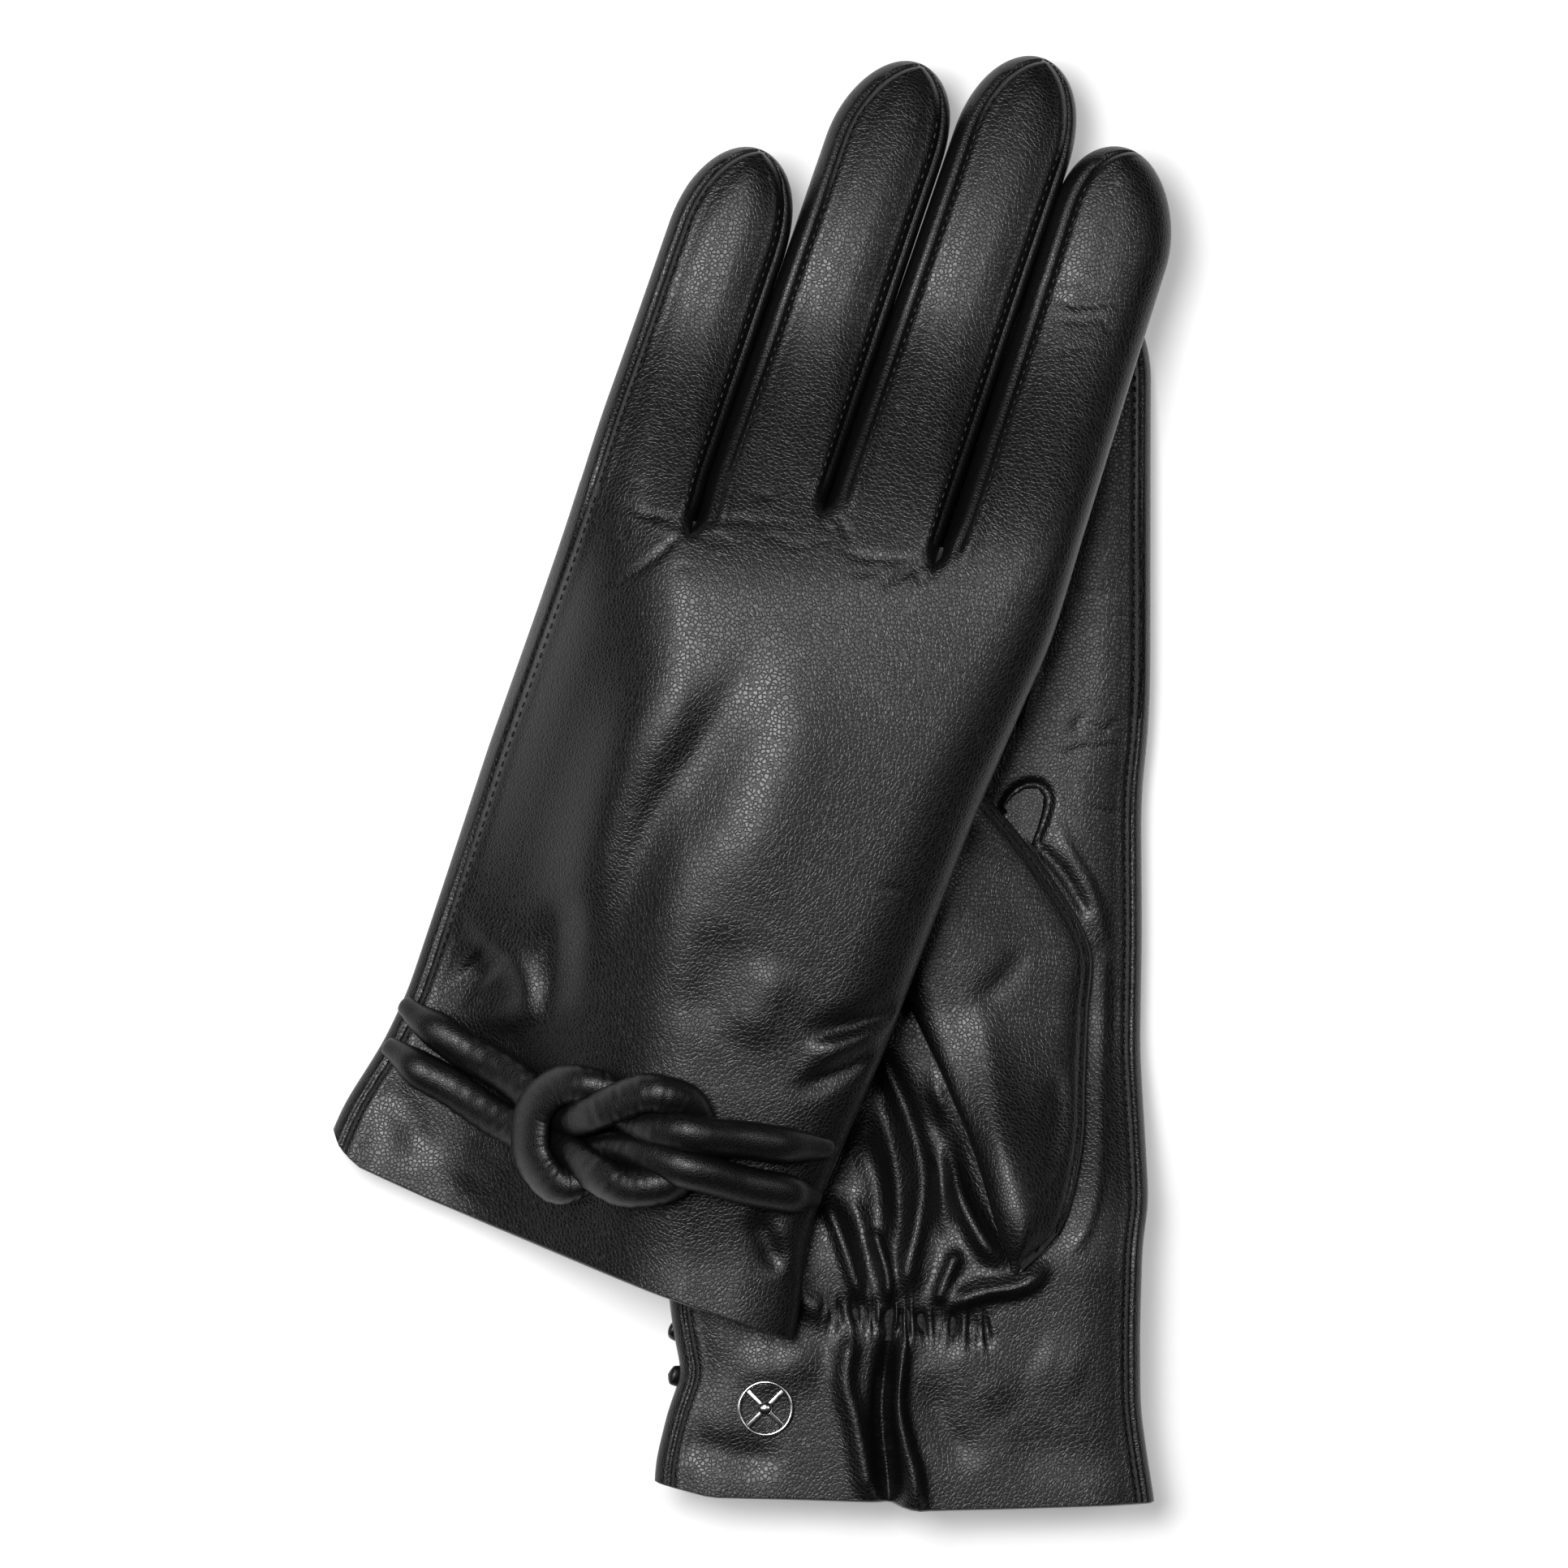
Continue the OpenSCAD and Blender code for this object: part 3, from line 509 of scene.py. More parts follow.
# %% Facing, lining and elastic
def cuff_ring(name, label, rows, shape_at, material, node):
    def face(k, back):
        def shape(u, v):
            lo, hi = band_edges(name, k, np.zeros_like(u) + 2.0)
            start = hem(name, lo + (hi - lo) * across(u))
            inset, y = shape_at(v, start, k)
            whole = skin(name, k, u, np.maximum(y, start), back)
            x, z = inside(name, k, u, y, inset, back)
            inner = place(name, x, y, z if back else -z)
            return mix(whole, inner, smooth(inset / 0.4)[:, None])
        return grid(14, rows, shape)
    faces = [face(k, back) for k in range(4) for back in (True, False)]
    obj = piece(f"{name}_{label}", joined(faces), material)
    bm = bmesh.new()
    bm.from_mesh(obj.data)
    bmesh.ops.reverse_faces(bm, faces=bm.faces)
    bm.to_mesh(obj.data)
    bm.free()
    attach(obj, f"{name}_hand")
    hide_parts(node)
    return obj

def inside(name, k, s, y, inset, back):
    x, z, full, _, _ = band(name, k, s, y, 0.0, back)
    lo, hi = band_edges(name, 0, y)[0], band_edges(name, 3, y)[1]
    middle, half = (lo + hi) / 2, (hi - lo) / 2
    x = middle + (x - middle) * (1 - inset / half)
    z = z + relief(name, back, x, y) * smooth(full * 1.2)
    return x, np.maximum(z - inset * smooth(full * 1.5), 0.1 * full)

def lining_at(v, start, k):
    return 1.35 + 0 * v, start + 12.5 + (CUT[k] - start - 12.6) * v

def facing_at(v, start, k):
    turned = np.clip(v / 0.3, 0, 1)
    return 0.95 * smooth(turned), start - 0.45 * np.sin(np.pi * turned) + 14 * np.clip((v - 0.3) / 0.7, 0, 1)

for name in GLOVES:
    cuff_ring(name, "cuff_facing", 12, facing_at, NAPPA, f"{name}_cuff_facing")
    cuff_ring(name, "hand_lining", 34, lining_at, KNIT, f"{name}_hand_lining")

    def tape(u, v):
        y = 29.5 + 6 * v
        lo, hi = band_edges(name, 1, y)
        x = -16 + 33 * u
        share = np.clip((x - lo) / (hi - lo), 0, 1)
        _, z, _, _, _ = band(name, 1, share, y, 0.0, False)
        return place(name, x, y, -(z - 1.15 - 0.18 * np.cos(x * 2 * np.pi / 2.1)))
    elastic = piece(f"{name}_elastic_tape", grid(90, 6, tape), ELASTIC, (0, 0, -GLOVES[name]["side"]))
    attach(elastic, f"{name}_hand")
    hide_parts(f"{name}_elastic_tape")
print("cuffs lined")

# %% [markdown]
# ## Thumbs
# The thumb is a leaf of leather folded over the palm and sewn in along its outer edge. Its left
# edge is a fold that hangs free, and its right edge sinks to the palm beside the seam. It is a
# closed tube whose two outlines are drawn on the palm and whose height is a soft arch.

# %% Thumb sleeves
THUMB_LEFT = [(20.6, 43.2), (17.6, 52), (13.2, 66.5), (7.6, 80), (2.6, 91), (-1.6, 100), (-7.2, 111),
              (-11.8, 121), (-15.4, 131), (-16.8, 139), (-15.6, 145)]
THUMB_RIGHT = [(22.6, 43.0), (30.6, 51.2), (34.6, 66.5), (35.4, 80), (36.0, 93), (36.4, 105.5), (29.8, 117.8),
               (20.6, 130), (12.4, 138.6), (4, 144.6), (-5, 148.8)]
THUMB_TIP = (-13.6, 149.2)
THUMB_UNDERSIDE = 7.0    # depth of the sleeve's side that lies on the palm

def along_curve(points, t):
    path = through(points, 12)
    spots = np.linspace(0, 1, len(path))
    return np.interp(t, spots, path[:, 0]), np.interp(t, spots, path[:, 1])

def thumb_surface(s, v, top, inset=0.0):
    """x, y and depth below the middle of the hand, for the thumb's skin."""
    t = np.clip(v / 0.93, 0, 1)
    closing = np.sqrt(np.maximum(0, 1 - np.clip((v - 0.9) / 0.1, 0, 1) ** 2.2))
    lx, ly = along_curve(THUMB_LEFT, t)
    rx, ry = along_curve(THUMB_RIGHT, t)
    end_x, end_y = mix(lx, THUMB_TIP[0], 1 - closing), mix(ly, THUMB_TIP[1], 1 - closing)
    far_x, far_y = mix(rx, THUMB_TIP[0], 1 - closing), mix(ry, THUMB_TIP[1], 1 - closing)
    share = 0.5 * (1 - np.cos(np.pi * s)) * 0.8 + 0.2 * s
    if inset:
        share = 0.5 + (share - 0.5) * (1 - inset / 14)
    x, y = mix(end_x, far_x, share), mix(end_y, far_y, share)
    width = np.hypot(far_x - end_x, far_y - end_y)
    edge = roll(share * width, 6.5) * roll((1 - share) * width, 7.5)
    thick = (3.6 - inset) * edge * np.clip(width / 15, 0.2, 1) ** 0.5
    middle = 10.4 - 2.6 * smooth((share - 0.35) / 0.6) * (1 - smooth((v - 0.55) / 0.2))
    middle = middle - 2.2 * (1 - smooth(v / 0.2))
    wave = 0.35 * np.sin(y * 0.12 + 0.6) * np.sin(share * 5.5) * edge
    if top and not inset:
        wave = wave + fold(x, y, -0.8, 2.2, [(30, 84), (29.5, 72), (26, 60)]) * edge
        wave = wave + fold(x, y, 0.8, 3.5, [(15, 100), (16, 84), (19, 66), (20.5, 54)]) * edge
        wave = wave + fold(x, y, -0.6, 2.5, [(24, 108), (20, 100), (12, 92)]) * edge
        wave = wave - 0.5 * np.exp(-(((1 - share) * width - 1.4) / 0.6) ** 2) * smooth((v - 0.05) / 0.1)
    depth = middle + (thick + wave if top else -thick)
    return x, y, np.maximum(depth, THUMB_UNDERSIDE + inset)

def thumb_tube(name, label, columns, rows, inset, material):
    def half(top):
        def shape(u, v):
            v = (1 - (1 - v) ** 1.25) * (1 - inset * 0.01) + inset * 0.004
            x, y, depth = thumb_surface(u, v, top, inset)
            return place(name, x, y, -depth)
        return grid(columns, rows, shape)
    obj = piece(f"{name}_{label}", joined([half(True), half(False)]), material)
    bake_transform(obj)
    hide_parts(f"{name}_{label}")
    return obj

for name in GLOVES:
    columns, rows = (48, 150) if name == "lower" else (22, 60)
    sleeve = thumb_tube(name, "thumb_sleeve", columns, rows, 0.0, NAPPA)
    thumb_tube(name, "thumb_lining", 18, 30, 1.3, KNIT)
    print(sleeve.name, len(sleeve.data.polygons), "faces")

# %% [markdown]
# ## Small fitted pieces
# The quirk is a small pointed gusset that eases the thumb, and each crotch has a diamond gusset
# between its fingers. They are little pads fitted to the skin around them.

# %% Quirks and crotch gussets
QUIRK = [(19.6, 133.0), (21.2, 135.0), (23.6, 136.5), (26.2, 136.6), (27.3, 135.0), (27.0, 132.2),
         (26.0, 128.8), (24.9, 125.8), (22.4, 129.2)]

for name in GLOVES:
    bm = bmesh.new()
    ring = [bm.verts.new((x, y, 0)) for x, y in QUIRK]
    bm.faces.new(ring)
    for inner, rise in ((0.4, 0.3), (1.2, 0.25), (1.6, 0.1)):
        top = [f for f in bm.faces if len(f.verts) == len(QUIRK)]
        bmesh.ops.inset_region(bm, faces=top, thickness=inner, depth=rise, use_even_offset=True)
    bmesh.ops.subdivide_edges(bm, edges=bm.edges, cuts=1, use_grid_fill=True, smooth=0.4)
    bmesh.ops.triangulate(bm, faces=[f for f in bm.faces if len(f.verts) > 4])
    spots = np.array([v.co[:] for v in bm.verts])
    depth = 7.1 + 0.9 * np.abs(spots[:, 2])
    for vert, spot in zip(bm.verts, place(name, spots[:, 0], spots[:, 1], -depth)):
        vert.co = spot
    quirk = piece(f"{name}_thumb_quirk", bm, STRIP_NAPPA, (0, 0, -GLOVES[name]["side"]))
    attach(quirk, f"{name}_hand")
    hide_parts(f"{name}_thumb_quirk")

    diamonds = []
    for k in (1, 2, 3):
        def shape(u, v, k=k):
            lo, _ = band_edges(name, k, CROTCH[k] + 0 * u)
            x = lo + (u - 0.5) * 4.4 * np.sin(np.pi * np.clip(v, 0.02, 0.98))
            y = CROTCH[k] - 4.2 + 5.2 * v
            z = 1.5 * np.cos((u - 0.5) * np.pi) * np.sin(np.pi * v) - 0.4
            return place(name, x, y, z)
        diamonds.append(grid(8, 10, shape))
    gussets = piece(f"{name}_crotch_gussets", joined(diamonds), STRIP_NAPPA, (0, 0, GLOVES[name]["side"]))
    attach(gussets, f"{name}_hand")
    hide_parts(f"{name}_crotch_gussets")
print("quirks and gussets fitted")

# %% [markdown]
# ## The knot
# Two stuffed leather cords lie across the wrist as doubled loops and lock in a reef knot. Each
# cord follows one smooth route with a layer number that says which strand passes over. The tube
# is a grid rolled round the route, a little flat underneath, with soft wrinkles near the knot.

# %% Padded cords
LITTLE_SIDE_CORD = [(-45.6, 31.4, -.35), (-38.5, 29, 0), (-30.4, 27, 0), (-20, 25, 0), (-13.8, 23.2, 0),
                    (-8.1, 22.2, .3), (-3.6, 24.4, .85), (1.1, 29, 1), (6.4, 32.8, 1), (12.3, 33.4, .6),
                    (16.4, 30.6, 0), (18.1, 26, 0), (17.4, 20.8, .1), (13.7, 16.4, .7), (7.8, 13.8, 1),
                    (1.4, 14.2, .95), (-4.2, 15.6, .4), (-8.9, 16, 0), (-15, 16, 0), (-21.3, 17, 0),
                    (-31.6, 19.3, 0), (-39, 20.8, 0), (-46.0, 22.6, -.35)]
INDEX_SIDE_CORD = [(43.4, 34.2, -.35), (34.6, 32.2, .1), (26.1, 30.2, .5), (17.4, 28.3, 1), (10.6, 26.8, .75),
                   (5.3, 26.6, .15), (1.5, 28, 0), (-3, 29.8, .3), (-8.9, 28.6, .9), (-12.8, 24.9, 1),
                   (-13.7, 19.7, 1), (-12.4, 15, 1), (-8.9, 10.8, 1), (-4.3, 9.4, .85), (-1, 12, .25),
                   (0.5, 16.1, 0), (3.4, 19.5, .1), (10.2, 20.8, .6), (19.2, 21.4, 1), (28.7, 22.2, .5),
                   (38.7, 23.4, .1),
                   (43.8, 24.2, -.35)]

CORD_RADIUS, CORD_FLAT = 3.75, 0.86
CORD_STEP = 5.3      # rise of a strand that passes over another

def cuff_height(name, x, y):
    g = GLOVES[name]
    left, right = g["left"](y), g["right"](y)
    return hand_rise(y) * roll(np.minimum(x + left, right - x) + 0.3, 13.5)

def cord_tube(name, label, route):
    path = through(route, 14)
    spots = np.linspace(0, 1, len(path))

    def line(t):
        x, y, layer = (np.interp(t, spots, path[:, i]) for i in range(3))
        return x, y, cuff_height(name, x, y) + CORD_RADIUS * CORD_FLAT * 0.93 + layer * CORD_STEP

    def shape(u, v):
        x, y, z = line(v)
        ax, ay, az = line(np.clip(v + 0.004, 0, 1))
        bx, by, bz = line(np.clip(v - 0.004, 0, 1))
        run = np.stack([ax - bx, ay - by, az - bz], -1)
        run /= np.linalg.norm(run, axis=1)[:, None]
        side = np.cross(run, np.array([0.0, 0.0, 1.0]))
        side /= np.linalg.norm(side, axis=1)[:, None]
        up = np.cross(side, run)
        turn = 2 * np.pi * u
        near_knot = np.exp(-((x - 2) / 16) ** 2)
        length = v * 170
        wrinkle = near_knot * (0.05 * np.sin(length * 1.9 + 2 * np.sin(turn))
                               + 0.04 * np.sin(length * 3.1 + 1.7 * np.cos(turn)))
        left_wing = smooth((-12 - x) / 8) * smooth((x + 38) / 10)
        wrinkle = (wrinkle + 0.12 * np.sin(length * 0.5 + turn)
                   + left_wing * 0.07 * np.sin(length * 2.6 + turn))
        taper = np.minimum(1, 0.5 + 0.5 * smooth(np.minimum(v, 1 - v) / 0.06))
        shut = np.sqrt(smooth(np.minimum(v, 1 - v) / 0.006))
        r = (CORD_RADIUS * taper + wrinkle) * shut
        squash = np.sin(turn) * CORD_FLAT * mix(0.75, 1, smooth((taper - 0.6) / 0.4))
        out = np.cos(turn)[:, None] * side + squash[:, None] * up
        spot = np.stack([x, y, z], -1) + r[:, None] * out
        return place(name, spot[:, 0], spot[:, 1], spot[:, 2])
    cord = piece(f"{name}_{label}", grid(26, 420, shape), CORD_NAPPA)
    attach(cord, f"{name}_hand")
    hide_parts(f"{name}_{label}")
    return cord

for name in GLOVES:
    for side, route in (("little", LITTLE_SIDE_CORD), ("index", INDEX_SIDE_CORD)):
        cord = cord_tube(name, f"knot_cord_{side}_side", route)
        print(cord.name, len(cord.data.polygons), "faces")

# %% [markdown]
# ## Stitching
# The gloves are sewn with black thread, about twelve stitches to the inch, so each stitch is a
# small bead of thread 1.4 mm long every 2.1 mm. Hundreds repeat, so each has only twenty faces.

# %% Stitches
STITCH_LENGTH, STITCH_THICK, STITCH_EVERY = 1.4e-3, 0.46e-3, 2.1e-3
STITCH_INSET = 0.95      # from the seam's groove to its stitching, in millimetres

def stitch_row(bm, spots, up):
    """Beads of thread along a line of points in metres, lying on a surface that faces up."""
    steps = np.linalg.norm(np.diff(spots, axis=0), axis=1)
    at = np.concatenate([[0], np.cumsum(steps)])
    for d in np.arange(0.001, at[-1] - 0.001, STITCH_EVERY):
        here = Vector([np.interp(d, at, spots[:, i]) for i in range(3)])
        there = Vector([np.interp(d + 0.0006, at, spots[:, i]) for i in range(3)])
        run = (there - here).normalized()
        facing = Vector([np.interp(d, at, up[:, i]) for i in range(3)])
        side = facing.cross(run).normalized()
        facing = run.cross(side)
        turn = Matrix((run, side, facing)).transposed().to_4x4()
        size = Matrix.Diagonal((STITCH_LENGTH * 0.5, STITCH_THICK * 0.5, STITCH_THICK * 0.42, 1))
        bmesh.ops.create_icosphere(bm, subdivisions=1, radius=1.0,
                                   matrix=Matrix.Translation(here) @ turn @ size)

def facing_of(make, points):
    """Outward direction of a skin at points, from its slope across and along."""
    (s, y), e = points, 0.02
    a, b = make(s + e * 0.2, y) - make(s - e * 0.2, y), make(s, y + e * 10) - make(s, y - e * 10)
    n = np.cross(a, b)
    return n / np.linalg.norm(n, axis=1)[:, None]

def seam_stitches(bm, name, k, back, left, y_from, y_to):
    y = np.arange(y_from, y_to, 0.8)
    lo, hi = band_edges(name, k, y)
    distance = (SEAM_LEFT if left else SEAM_RIGHT)[k] + STITCH_INSET
    share = distance / (hi - lo)
    s = across_back(share if left else 1 - share)
    make = lambda s, y: skin(name, k, s, y, back)
    up = facing_of(make, (s, y))
    up = up * np.sign(up[:, 2:] * GLOVES[name]["side"] * (1 if back else -1))
    stitch_row(bm, make(s, y) + up * 0.00008, up)

for name in GLOVES:
    hand_thread = bmesh.new()
    seam_stitches(hand_thread, name, 0, True, True, 4, 138.7)
    if name == "lower":
        seam_stitches(hand_thread, name, 3, False, False, 0, 150)
        seam_stitches(hand_thread, name, 0, False, True, 3, 138.7)
    welts = piece(f"{name}_side_welts", hand_thread, THREAD, weld=1e-7)
    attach(welts, f"{name}_hand")
    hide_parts(f"{name}_side_welts")
    for k, finger in enumerate(FINGERS):
        thread = bmesh.new()
        faces = (True, False) if name == "lower" else (True,)
        for back in faces:
            start = CUT[k] + 0.4
            seam_stitches(thread, name, k, back, True, start, TIP[k] - 9)
            if k < 3 or name == "lower":
                seam_stitches(thread, name, k, back, False, start, TIP[k] - 9)
        row = piece(f"{name}_{finger}_stitches", thread, THREAD, weld=1e-7)
        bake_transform(row)
    print(name, "sewn")

# %% [markdown]
# ## The badge
# A small openwork badge is pinned through the cuff. It is plain: a turned ring, two crossed bars
# and a domed stud. The ring is a round section spun once, and the bars are bevelled boxes.

# %% Badges
for name in GLOVES:
    at_x, at_y = -27.0, 16.4 if name == "lower" else 16.0
    spot = [place(name, at_x + dx, at_y + dy, -np.float64(cuff_height(name, at_x + dx, at_y + dy)))
            for dx, dy in ((0, 0), (3, 0), (0, 3))]
    along, up_y = Vector(spot[1] - spot[0]).normalized(), Vector(spot[2] - spot[0]).normalized()
    facing = along.cross(up_y).normalized() * (1 if GLOVES[name]["side"] < 0 else -1)
    if facing.z * -GLOVES[name]["side"] < 0:
        facing = -facing
    lie = Matrix((along, facing.cross(along), facing)).transposed().to_4x4()
    lie = Matrix.Translation(Vector(spot[0]) + facing * 0.00042) @ lie
    bm = bmesh.new()
    section_at = Matrix.Translation((0.0051, 0, 0)) @ Matrix.Rotation(math.pi / 2, 4, "X")
    section = bmesh.ops.create_circle(bm, segments=16, radius=0.00048, matrix=section_at)["verts"]
    edges = list({e for v in section for e in v.link_edges})
    bmesh.ops.spin(bm, geom=section + edges, axis=(0, 0, 1), cent=(0, 0, 0), angle=2 * math.pi, steps=72,
                   use_merge=True)
    for turn in (45, -45):
        bar = bmesh.ops.create_cube(bm, size=1.0, matrix=Matrix.Rotation(math.radians(turn), 4, "Z")
                                    @ Matrix.Diagonal((0.0100, 0.00095, 0.00060, 1)))["verts"]
        bmesh.ops.bevel(bm, geom=list({e for v in bar for e in v.link_edges}), offset=0.00018, segments=3,
                        profile=0.5, affect="EDGES", material=-1)
    stud_at = Matrix.Translation((0, 0, 0.0001)) @ Matrix.Diagonal((0.0014, 0.0014, 0.0008, 1))
    bmesh.ops.create_uvsphere(bm, u_segments=28, v_segments=14, radius=1.0, matrix=stud_at)
    bmesh.ops.transform(bm, matrix=lie, verts=bm.verts)
    badge = piece(f"{name}_badge", bm, NICKEL, weld=1e-7)
    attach(badge, f"{name}_hand")
    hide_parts(f"{name}_badge")

    plate = bmesh.new()
    bmesh.ops.create_circle(plate, cap_ends=True, segments=40, radius=0.0034)
    bmesh.ops.solidify(plate, geom=plate.faces[:], thickness=0.0004)
    bmesh.ops.transform(plate, matrix=lie @ Matrix.Translation((0, 0, -0.0021)), verts=plate.verts)
    backplate = piece(f"{name}_badge_backplate", plate, NICKEL, weld=1e-7)
    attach(backplate, f"{name}_hand")
    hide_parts(f"{name}_badge_backplate")
print("badges pinned")

# %% [markdown]
# ## Leather, thread, knit and metal
# Nappa is drum-dyed lamb skin. Its black is a shade off pure black, its pebbled grain is under a
# millimetre across, and its finish gives broad soft highlights that sparkle on the pebbles. The
# grain is a Voronoi cell pattern for the pebbles with fine noise on top, read in object
# coordinates so that it is the same size everywhere.

# %% Materials
def linear(hex_colour):
    """An sRGB hex colour as linear red, green, blue and alpha."""
    parts = [int(hex_colour[i:i + 2], 16) / 255 for i in (1, 3, 5)]
    return [c / 12.92 if c <= 0.04045 else ((c + 0.055) / 1.055) ** 2.4 for c in parts] + [1.0]

def add(tree, kind, links=(), **settings):
    """Adds a node, sets its properties and sockets, and links (socket, other node, its output)."""
    node = tree.nodes.new(kind)
    for key, value in settings.items():
        if hasattr(node, key):
            setattr(node, key, value)
        else:
            node.inputs[key.replace("_", " ")].default_value = value
    for socket, source, output in links:
        tree.links.new(source.outputs[output], node.inputs[socket])
    return node

def fresh(material):
    material.use_nodes = True
    tree = material.node_tree
    tree.nodes.clear()
    shader = add(tree, "ShaderNodeBsdfPrincipled")
    add(tree, "ShaderNodeOutputMaterial", [("Surface", shader, "BSDF")])
    return tree, shader, add(tree, "ShaderNodeTexCoord")

def leather(material, colour, worn, rough, pebble_mm, depth_mm):
    """Pebbled black leather: cells of pebble_mm, valleys darker and duller than the tops."""
    tree, shader, where = fresh(material)
    warp = add(tree, "ShaderNodeTexNoise", [("Vector", where, "Object")], Scale=260.0, Detail=2.0)
    bend = add(tree, "ShaderNodeVectorMath", [(0, warp, "Color")], operation="SCALE")
    bend.inputs["Scale"].default_value = 0.0007
    spot = add(tree, "ShaderNodeVectorMath", [(0, where, "Object"), (1, bend, "Vector")], operation="ADD")
    cells = add(tree, "ShaderNodeTexVoronoi", [("Vector", spot, "Vector")], feature="DISTANCE_TO_EDGE",
                Scale=1000.0 / pebble_mm)
    tops = add(tree, "ShaderNodeMapRange", [("Value", cells, "Distance")], interpolation_type="SMOOTHSTEP")
    tops.inputs["From Max"].default_value = 0.2
    pores = add(tree, "ShaderNodeTexNoise", [("Vector", where, "Object")], Scale=2600.0, Detail=3.0)
    cloud = add(tree, "ShaderNodeTexNoise", [("Vector", where, "Object")], Scale=55.0, Detail=3.0)
    height = add(tree, "ShaderNodeMath", [(0, pores, "Fac"), (2, tops, "Result")], operation="MULTIPLY_ADD")
    height.inputs[1].default_value = 0.35
    bump = add(tree, "ShaderNodeBump", [("Height", height, "Value")], Strength=1.0, Distance=depth_mm * 0.001)
    tint = add(tree, "ShaderNodeMix", [("Factor", cloud, "Fac")], data_type="RGBA")
    tint.inputs["A"].default_value, tint.inputs["B"].default_value = linear(colour), linear(worn)
    dull = add(tree, "ShaderNodeMapRange", [("Value", tops, "Result")])
    dull.inputs["To Min"].default_value, dull.inputs["To Max"].default_value = rough + 0.12, rough
    spread = add(tree, "ShaderNodeMath", [(0, cloud, "Fac"), (2, dull, "Result")], operation="MULTIPLY_ADD")
    spread.inputs[1].default_value = 0.06
    tree.links.new(tint.outputs["Result"], shader.inputs["Base Color"])
    tree.links.new(spread.outputs["Value"], shader.inputs["Roughness"])
    tree.links.new(bump.outputs["Normal"], shader.inputs["Normal"])
    shader.inputs["IOR"].default_value = 1.5

# drum-dyed nappa lamb: off-black with a speckled satin highlight; the pebbles are their real 0.8 mm
leather(NAPPA, "#070708", "#0b0b0c", 0.3, 0.8, 0.034)
# side strips and gussets: the same skin cut thinner and pulled flatter
leather(STRIP_NAPPA, "#070708", "#0a0a0b", 0.32, 0.65, 0.028)
# cords: skin stretched over a filler, smoother and a little glossier
leather(CORD_NAPPA, "#060607", "#0a0a0b", 0.31, 0.55, 0.02)

def cloth(material, colour, light, ribs_mm, across_mm, rough):
    """Black knit or woven tape: rows of ribs crossed by finer rows."""
    tree, shader, where = fresh(material)
    ribs = add(tree, "ShaderNodeTexWave", [("Vector", where, "Object")], bands_direction="X",
               Scale=1000.0 / ribs_mm / 20 * math.pi, Distortion=0.6)
    rows = add(tree, "ShaderNodeTexWave", [("Vector", where, "Object")], bands_direction="Y",
               Scale=1000.0 / across_mm / 20 * math.pi, Distortion=0.4)
    weave = add(tree, "ShaderNodeMath", [(0, ribs, "Fac"), (1, rows, "Fac")], operation="MULTIPLY")
    tint = add(tree, "ShaderNodeMix", [("Factor", weave, "Value")], data_type="RGBA")
    tint.inputs["A"].default_value, tint.inputs["B"].default_value = linear(colour), linear(light)
    bump = add(tree, "ShaderNodeBump", [("Height", weave, "Value")], Strength=0.8, Distance=0.0003)
    tree.links.new(tint.outputs["Result"], shader.inputs["Base Color"])
    tree.links.new(bump.outputs["Normal"], shader.inputs["Normal"])
    shader.inputs["Roughness"].default_value = rough
    shader.inputs["Sheen Weight"].default_value = 0.3

# ribbed jersey: soft, matt, with 1.2 mm ribs drawn a little coarser than life so they show
cloth(KNIT, "#0d0d0e", "#1c1c1e", 1.2, 0.9, 0.85)
# woven elastic: tighter, flatter rows
cloth(ELASTIC, "#101011", "#1a1a1c", 0.9, 0.6, 0.7)

def twisted_thread(material):
    # bonded polyester thread: black, with a fine twist and a faint shine from its roughness; its colour is
    # painted up to dark grey, a painted highlight that makes the stitches show on the black leather
    tree, shader, where = fresh(material)
    twist = add(tree, "ShaderNodeTexWave", [("Vector", where, "Object")], Scale=700.0, Distortion=1.0,
                bands_direction="DIAGONAL")
    tint = add(tree, "ShaderNodeMix", [("Factor", twist, "Fac")], data_type="RGBA")
    # the thread is black; these greys lift it as a painted highlight, and the twist bands alternate between
    # them
    tint.inputs["A"].default_value, tint.inputs["B"].default_value = linear("#1c1c1e"), linear("#303033")
    bump = add(tree, "ShaderNodeBump", [("Height", twist, "Fac")], Strength=0.5, Distance=0.0001)
    tree.links.new(tint.outputs["Result"], shader.inputs["Base Color"])
    tree.links.new(bump.outputs["Normal"], shader.inputs["Normal"])
    shader.inputs["Roughness"].default_value = 0.45

def plated_metal(material):
    # polished nickel plate: bright, neutral, slightly clouded by handling
    tree, shader, where = fresh(material)
    cloud = add(tree, "ShaderNodeTexNoise", [("Vector", where, "Object")], Scale=900.0, Detail=4.0)
    gloss = add(tree, "ShaderNodeMapRange", [("Value", cloud, "Fac")])
    gloss.inputs["To Min"].default_value, gloss.inputs["To Max"].default_value = 0.12, 0.3
    tint = add(tree, "ShaderNodeMix", [("Factor", cloud, "Fac")], data_type="RGBA")
    tint.inputs["A"].default_value, tint.inputs["B"].default_value = linear("#c9c9cb"), linear("#dededf")
    tree.links.new(gloss.outputs["Result"], shader.inputs["Roughness"])
    tree.links.new(tint.outputs["Result"], shader.inputs["Base Color"])
    shader.inputs["Metallic"].default_value = 1.0

twisted_thread(THREAD)
plated_metal(NICKEL)
print("materials:", ", ".join(m.name for m in bpy.data.materials if m.users))

# %% [markdown]
# ## Studio
# A white sweep under the gloves and large soft panels overhead give black leather its long quiet
# highlights. The camera looks straight down through a long lens, so heights barely shift things.

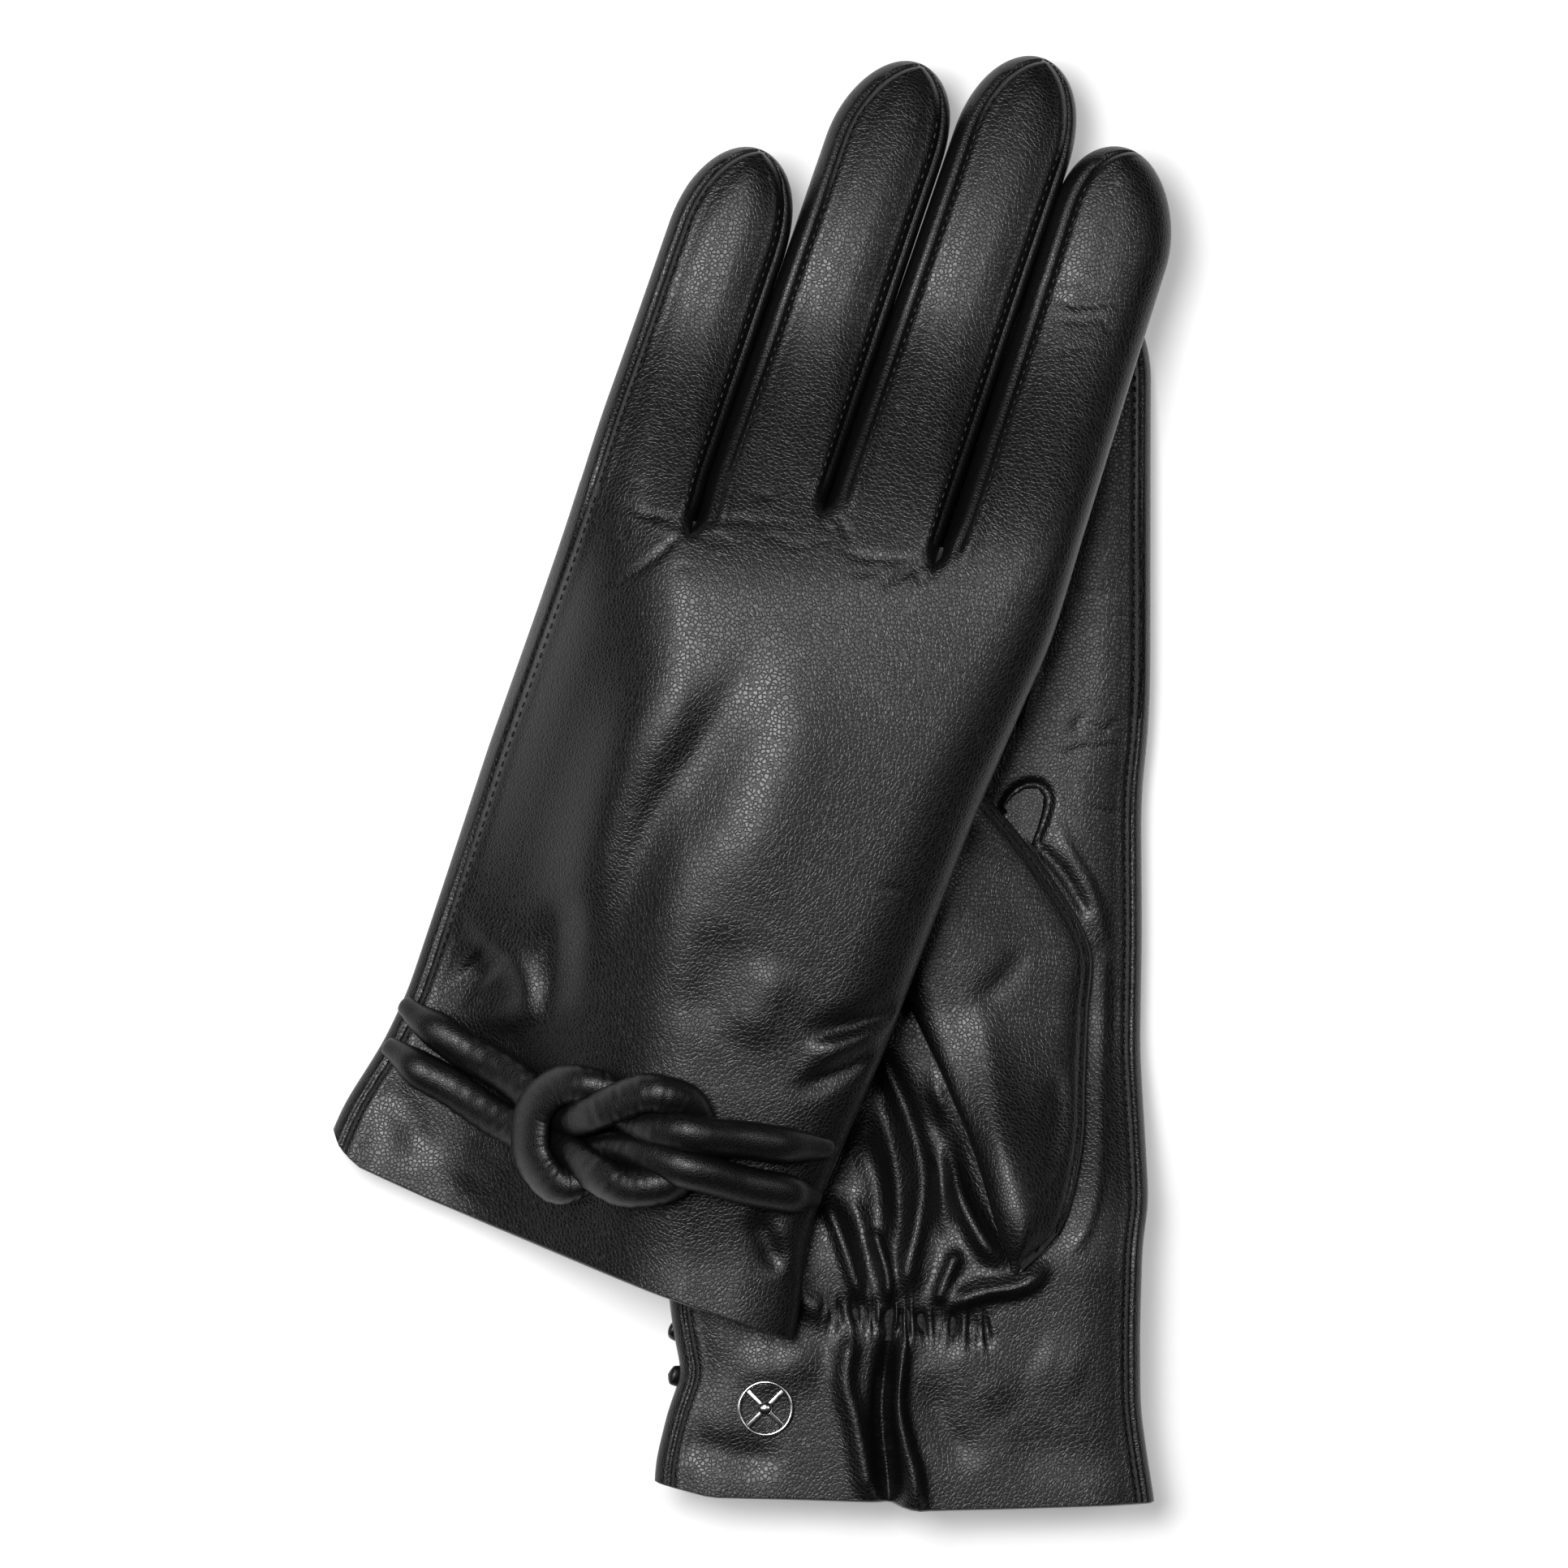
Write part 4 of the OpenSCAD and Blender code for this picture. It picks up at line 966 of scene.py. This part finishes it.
# %% Floor, lights and camera
floor_bm = bmesh.new()
bmesh.ops.create_grid(floor_bm, x_segments=2, y_segments=2, size=8.0)
sweep = piece("studio_floor", floor_bm, placeholder("white_paper_sweep"), (0, 0, 1))
tree, shader, where = fresh(sweep.data.materials[0])
paper = add(tree, "ShaderNodeTexNoise", [("Vector", where, "Object")], Scale=400.0)
tint = add(tree, "ShaderNodeMix", [("Factor", paper, "Fac")], data_type="RGBA")
tint.inputs["A"].default_value, tint.inputs["B"].default_value = linear("#f4f4f4"), linear("#fafafa")
tree.links.new(tint.outputs["Result"], shader.inputs["Base Color"])
shader.inputs["Roughness"].default_value = 0.9
shader.inputs["Specular IOR Level"].default_value = 0.1
shader.inputs["Emission Color"].default_value = linear("#ffffff")
shader.inputs["Emission Strength"].default_value = 0.35

def soft_panel(name, spot, target, size, watts):
    light = bpy.data.lights.new(name, "AREA")
    light.shape, light.size, light.size_y, light.energy = "RECTANGLE", size[0], size[1], watts
    lamp = bpy.data.objects.new(name, light)
    lamp.location = spot
    lamp.rotation_euler = (Vector(target) - Vector(spot)).to_track_quat("-Z", "Y").to_euler()
    bpy.context.scene.collection.objects.link(lamp)

VIEW_HEIGHT, LENS = 0.305, 200    # metres seen from top to bottom, and the lens in millimetres
centre = Vector((0.0064, -0.0007, 0.02))
soft_panel("overhead_panel", centre + Vector((-0.24, 0.18, 1.22)), centre, (0.4, 0.4), 12)
soft_panel("left_panel", centre + Vector((-0.75, 0.0, 0.95)), centre, (0.25, 0.5), 1.5)
soft_panel("right_panel", centre + Vector((0.55, 0.1, 1.0)), centre, (0.25, 0.35), 1.0)

world = bpy.data.worlds.new("studio_room")
bpy.context.scene.world = world
world.use_nodes = True
world.node_tree.nodes["Background"].inputs["Color"].default_value = linear("#fbfbfb")
world.node_tree.nodes["Background"].inputs["Strength"].default_value = 0.008

lens = bpy.data.cameras.new("overhead_camera")
lens.sensor_width, lens.lens = 36, LENS
lens.clip_end = 50
camera = bpy.data.objects.new("overhead_camera", lens)
camera.location = centre + Vector((0, 0, VIEW_HEIGHT / 2 / (18 / LENS)))
bpy.context.scene.collection.objects.link(camera)
bpy.context.scene.camera = camera
bpy.context.scene.view_settings.view_transform = "Standard"
print("camera at", [round(c, 3) for c in camera.location])
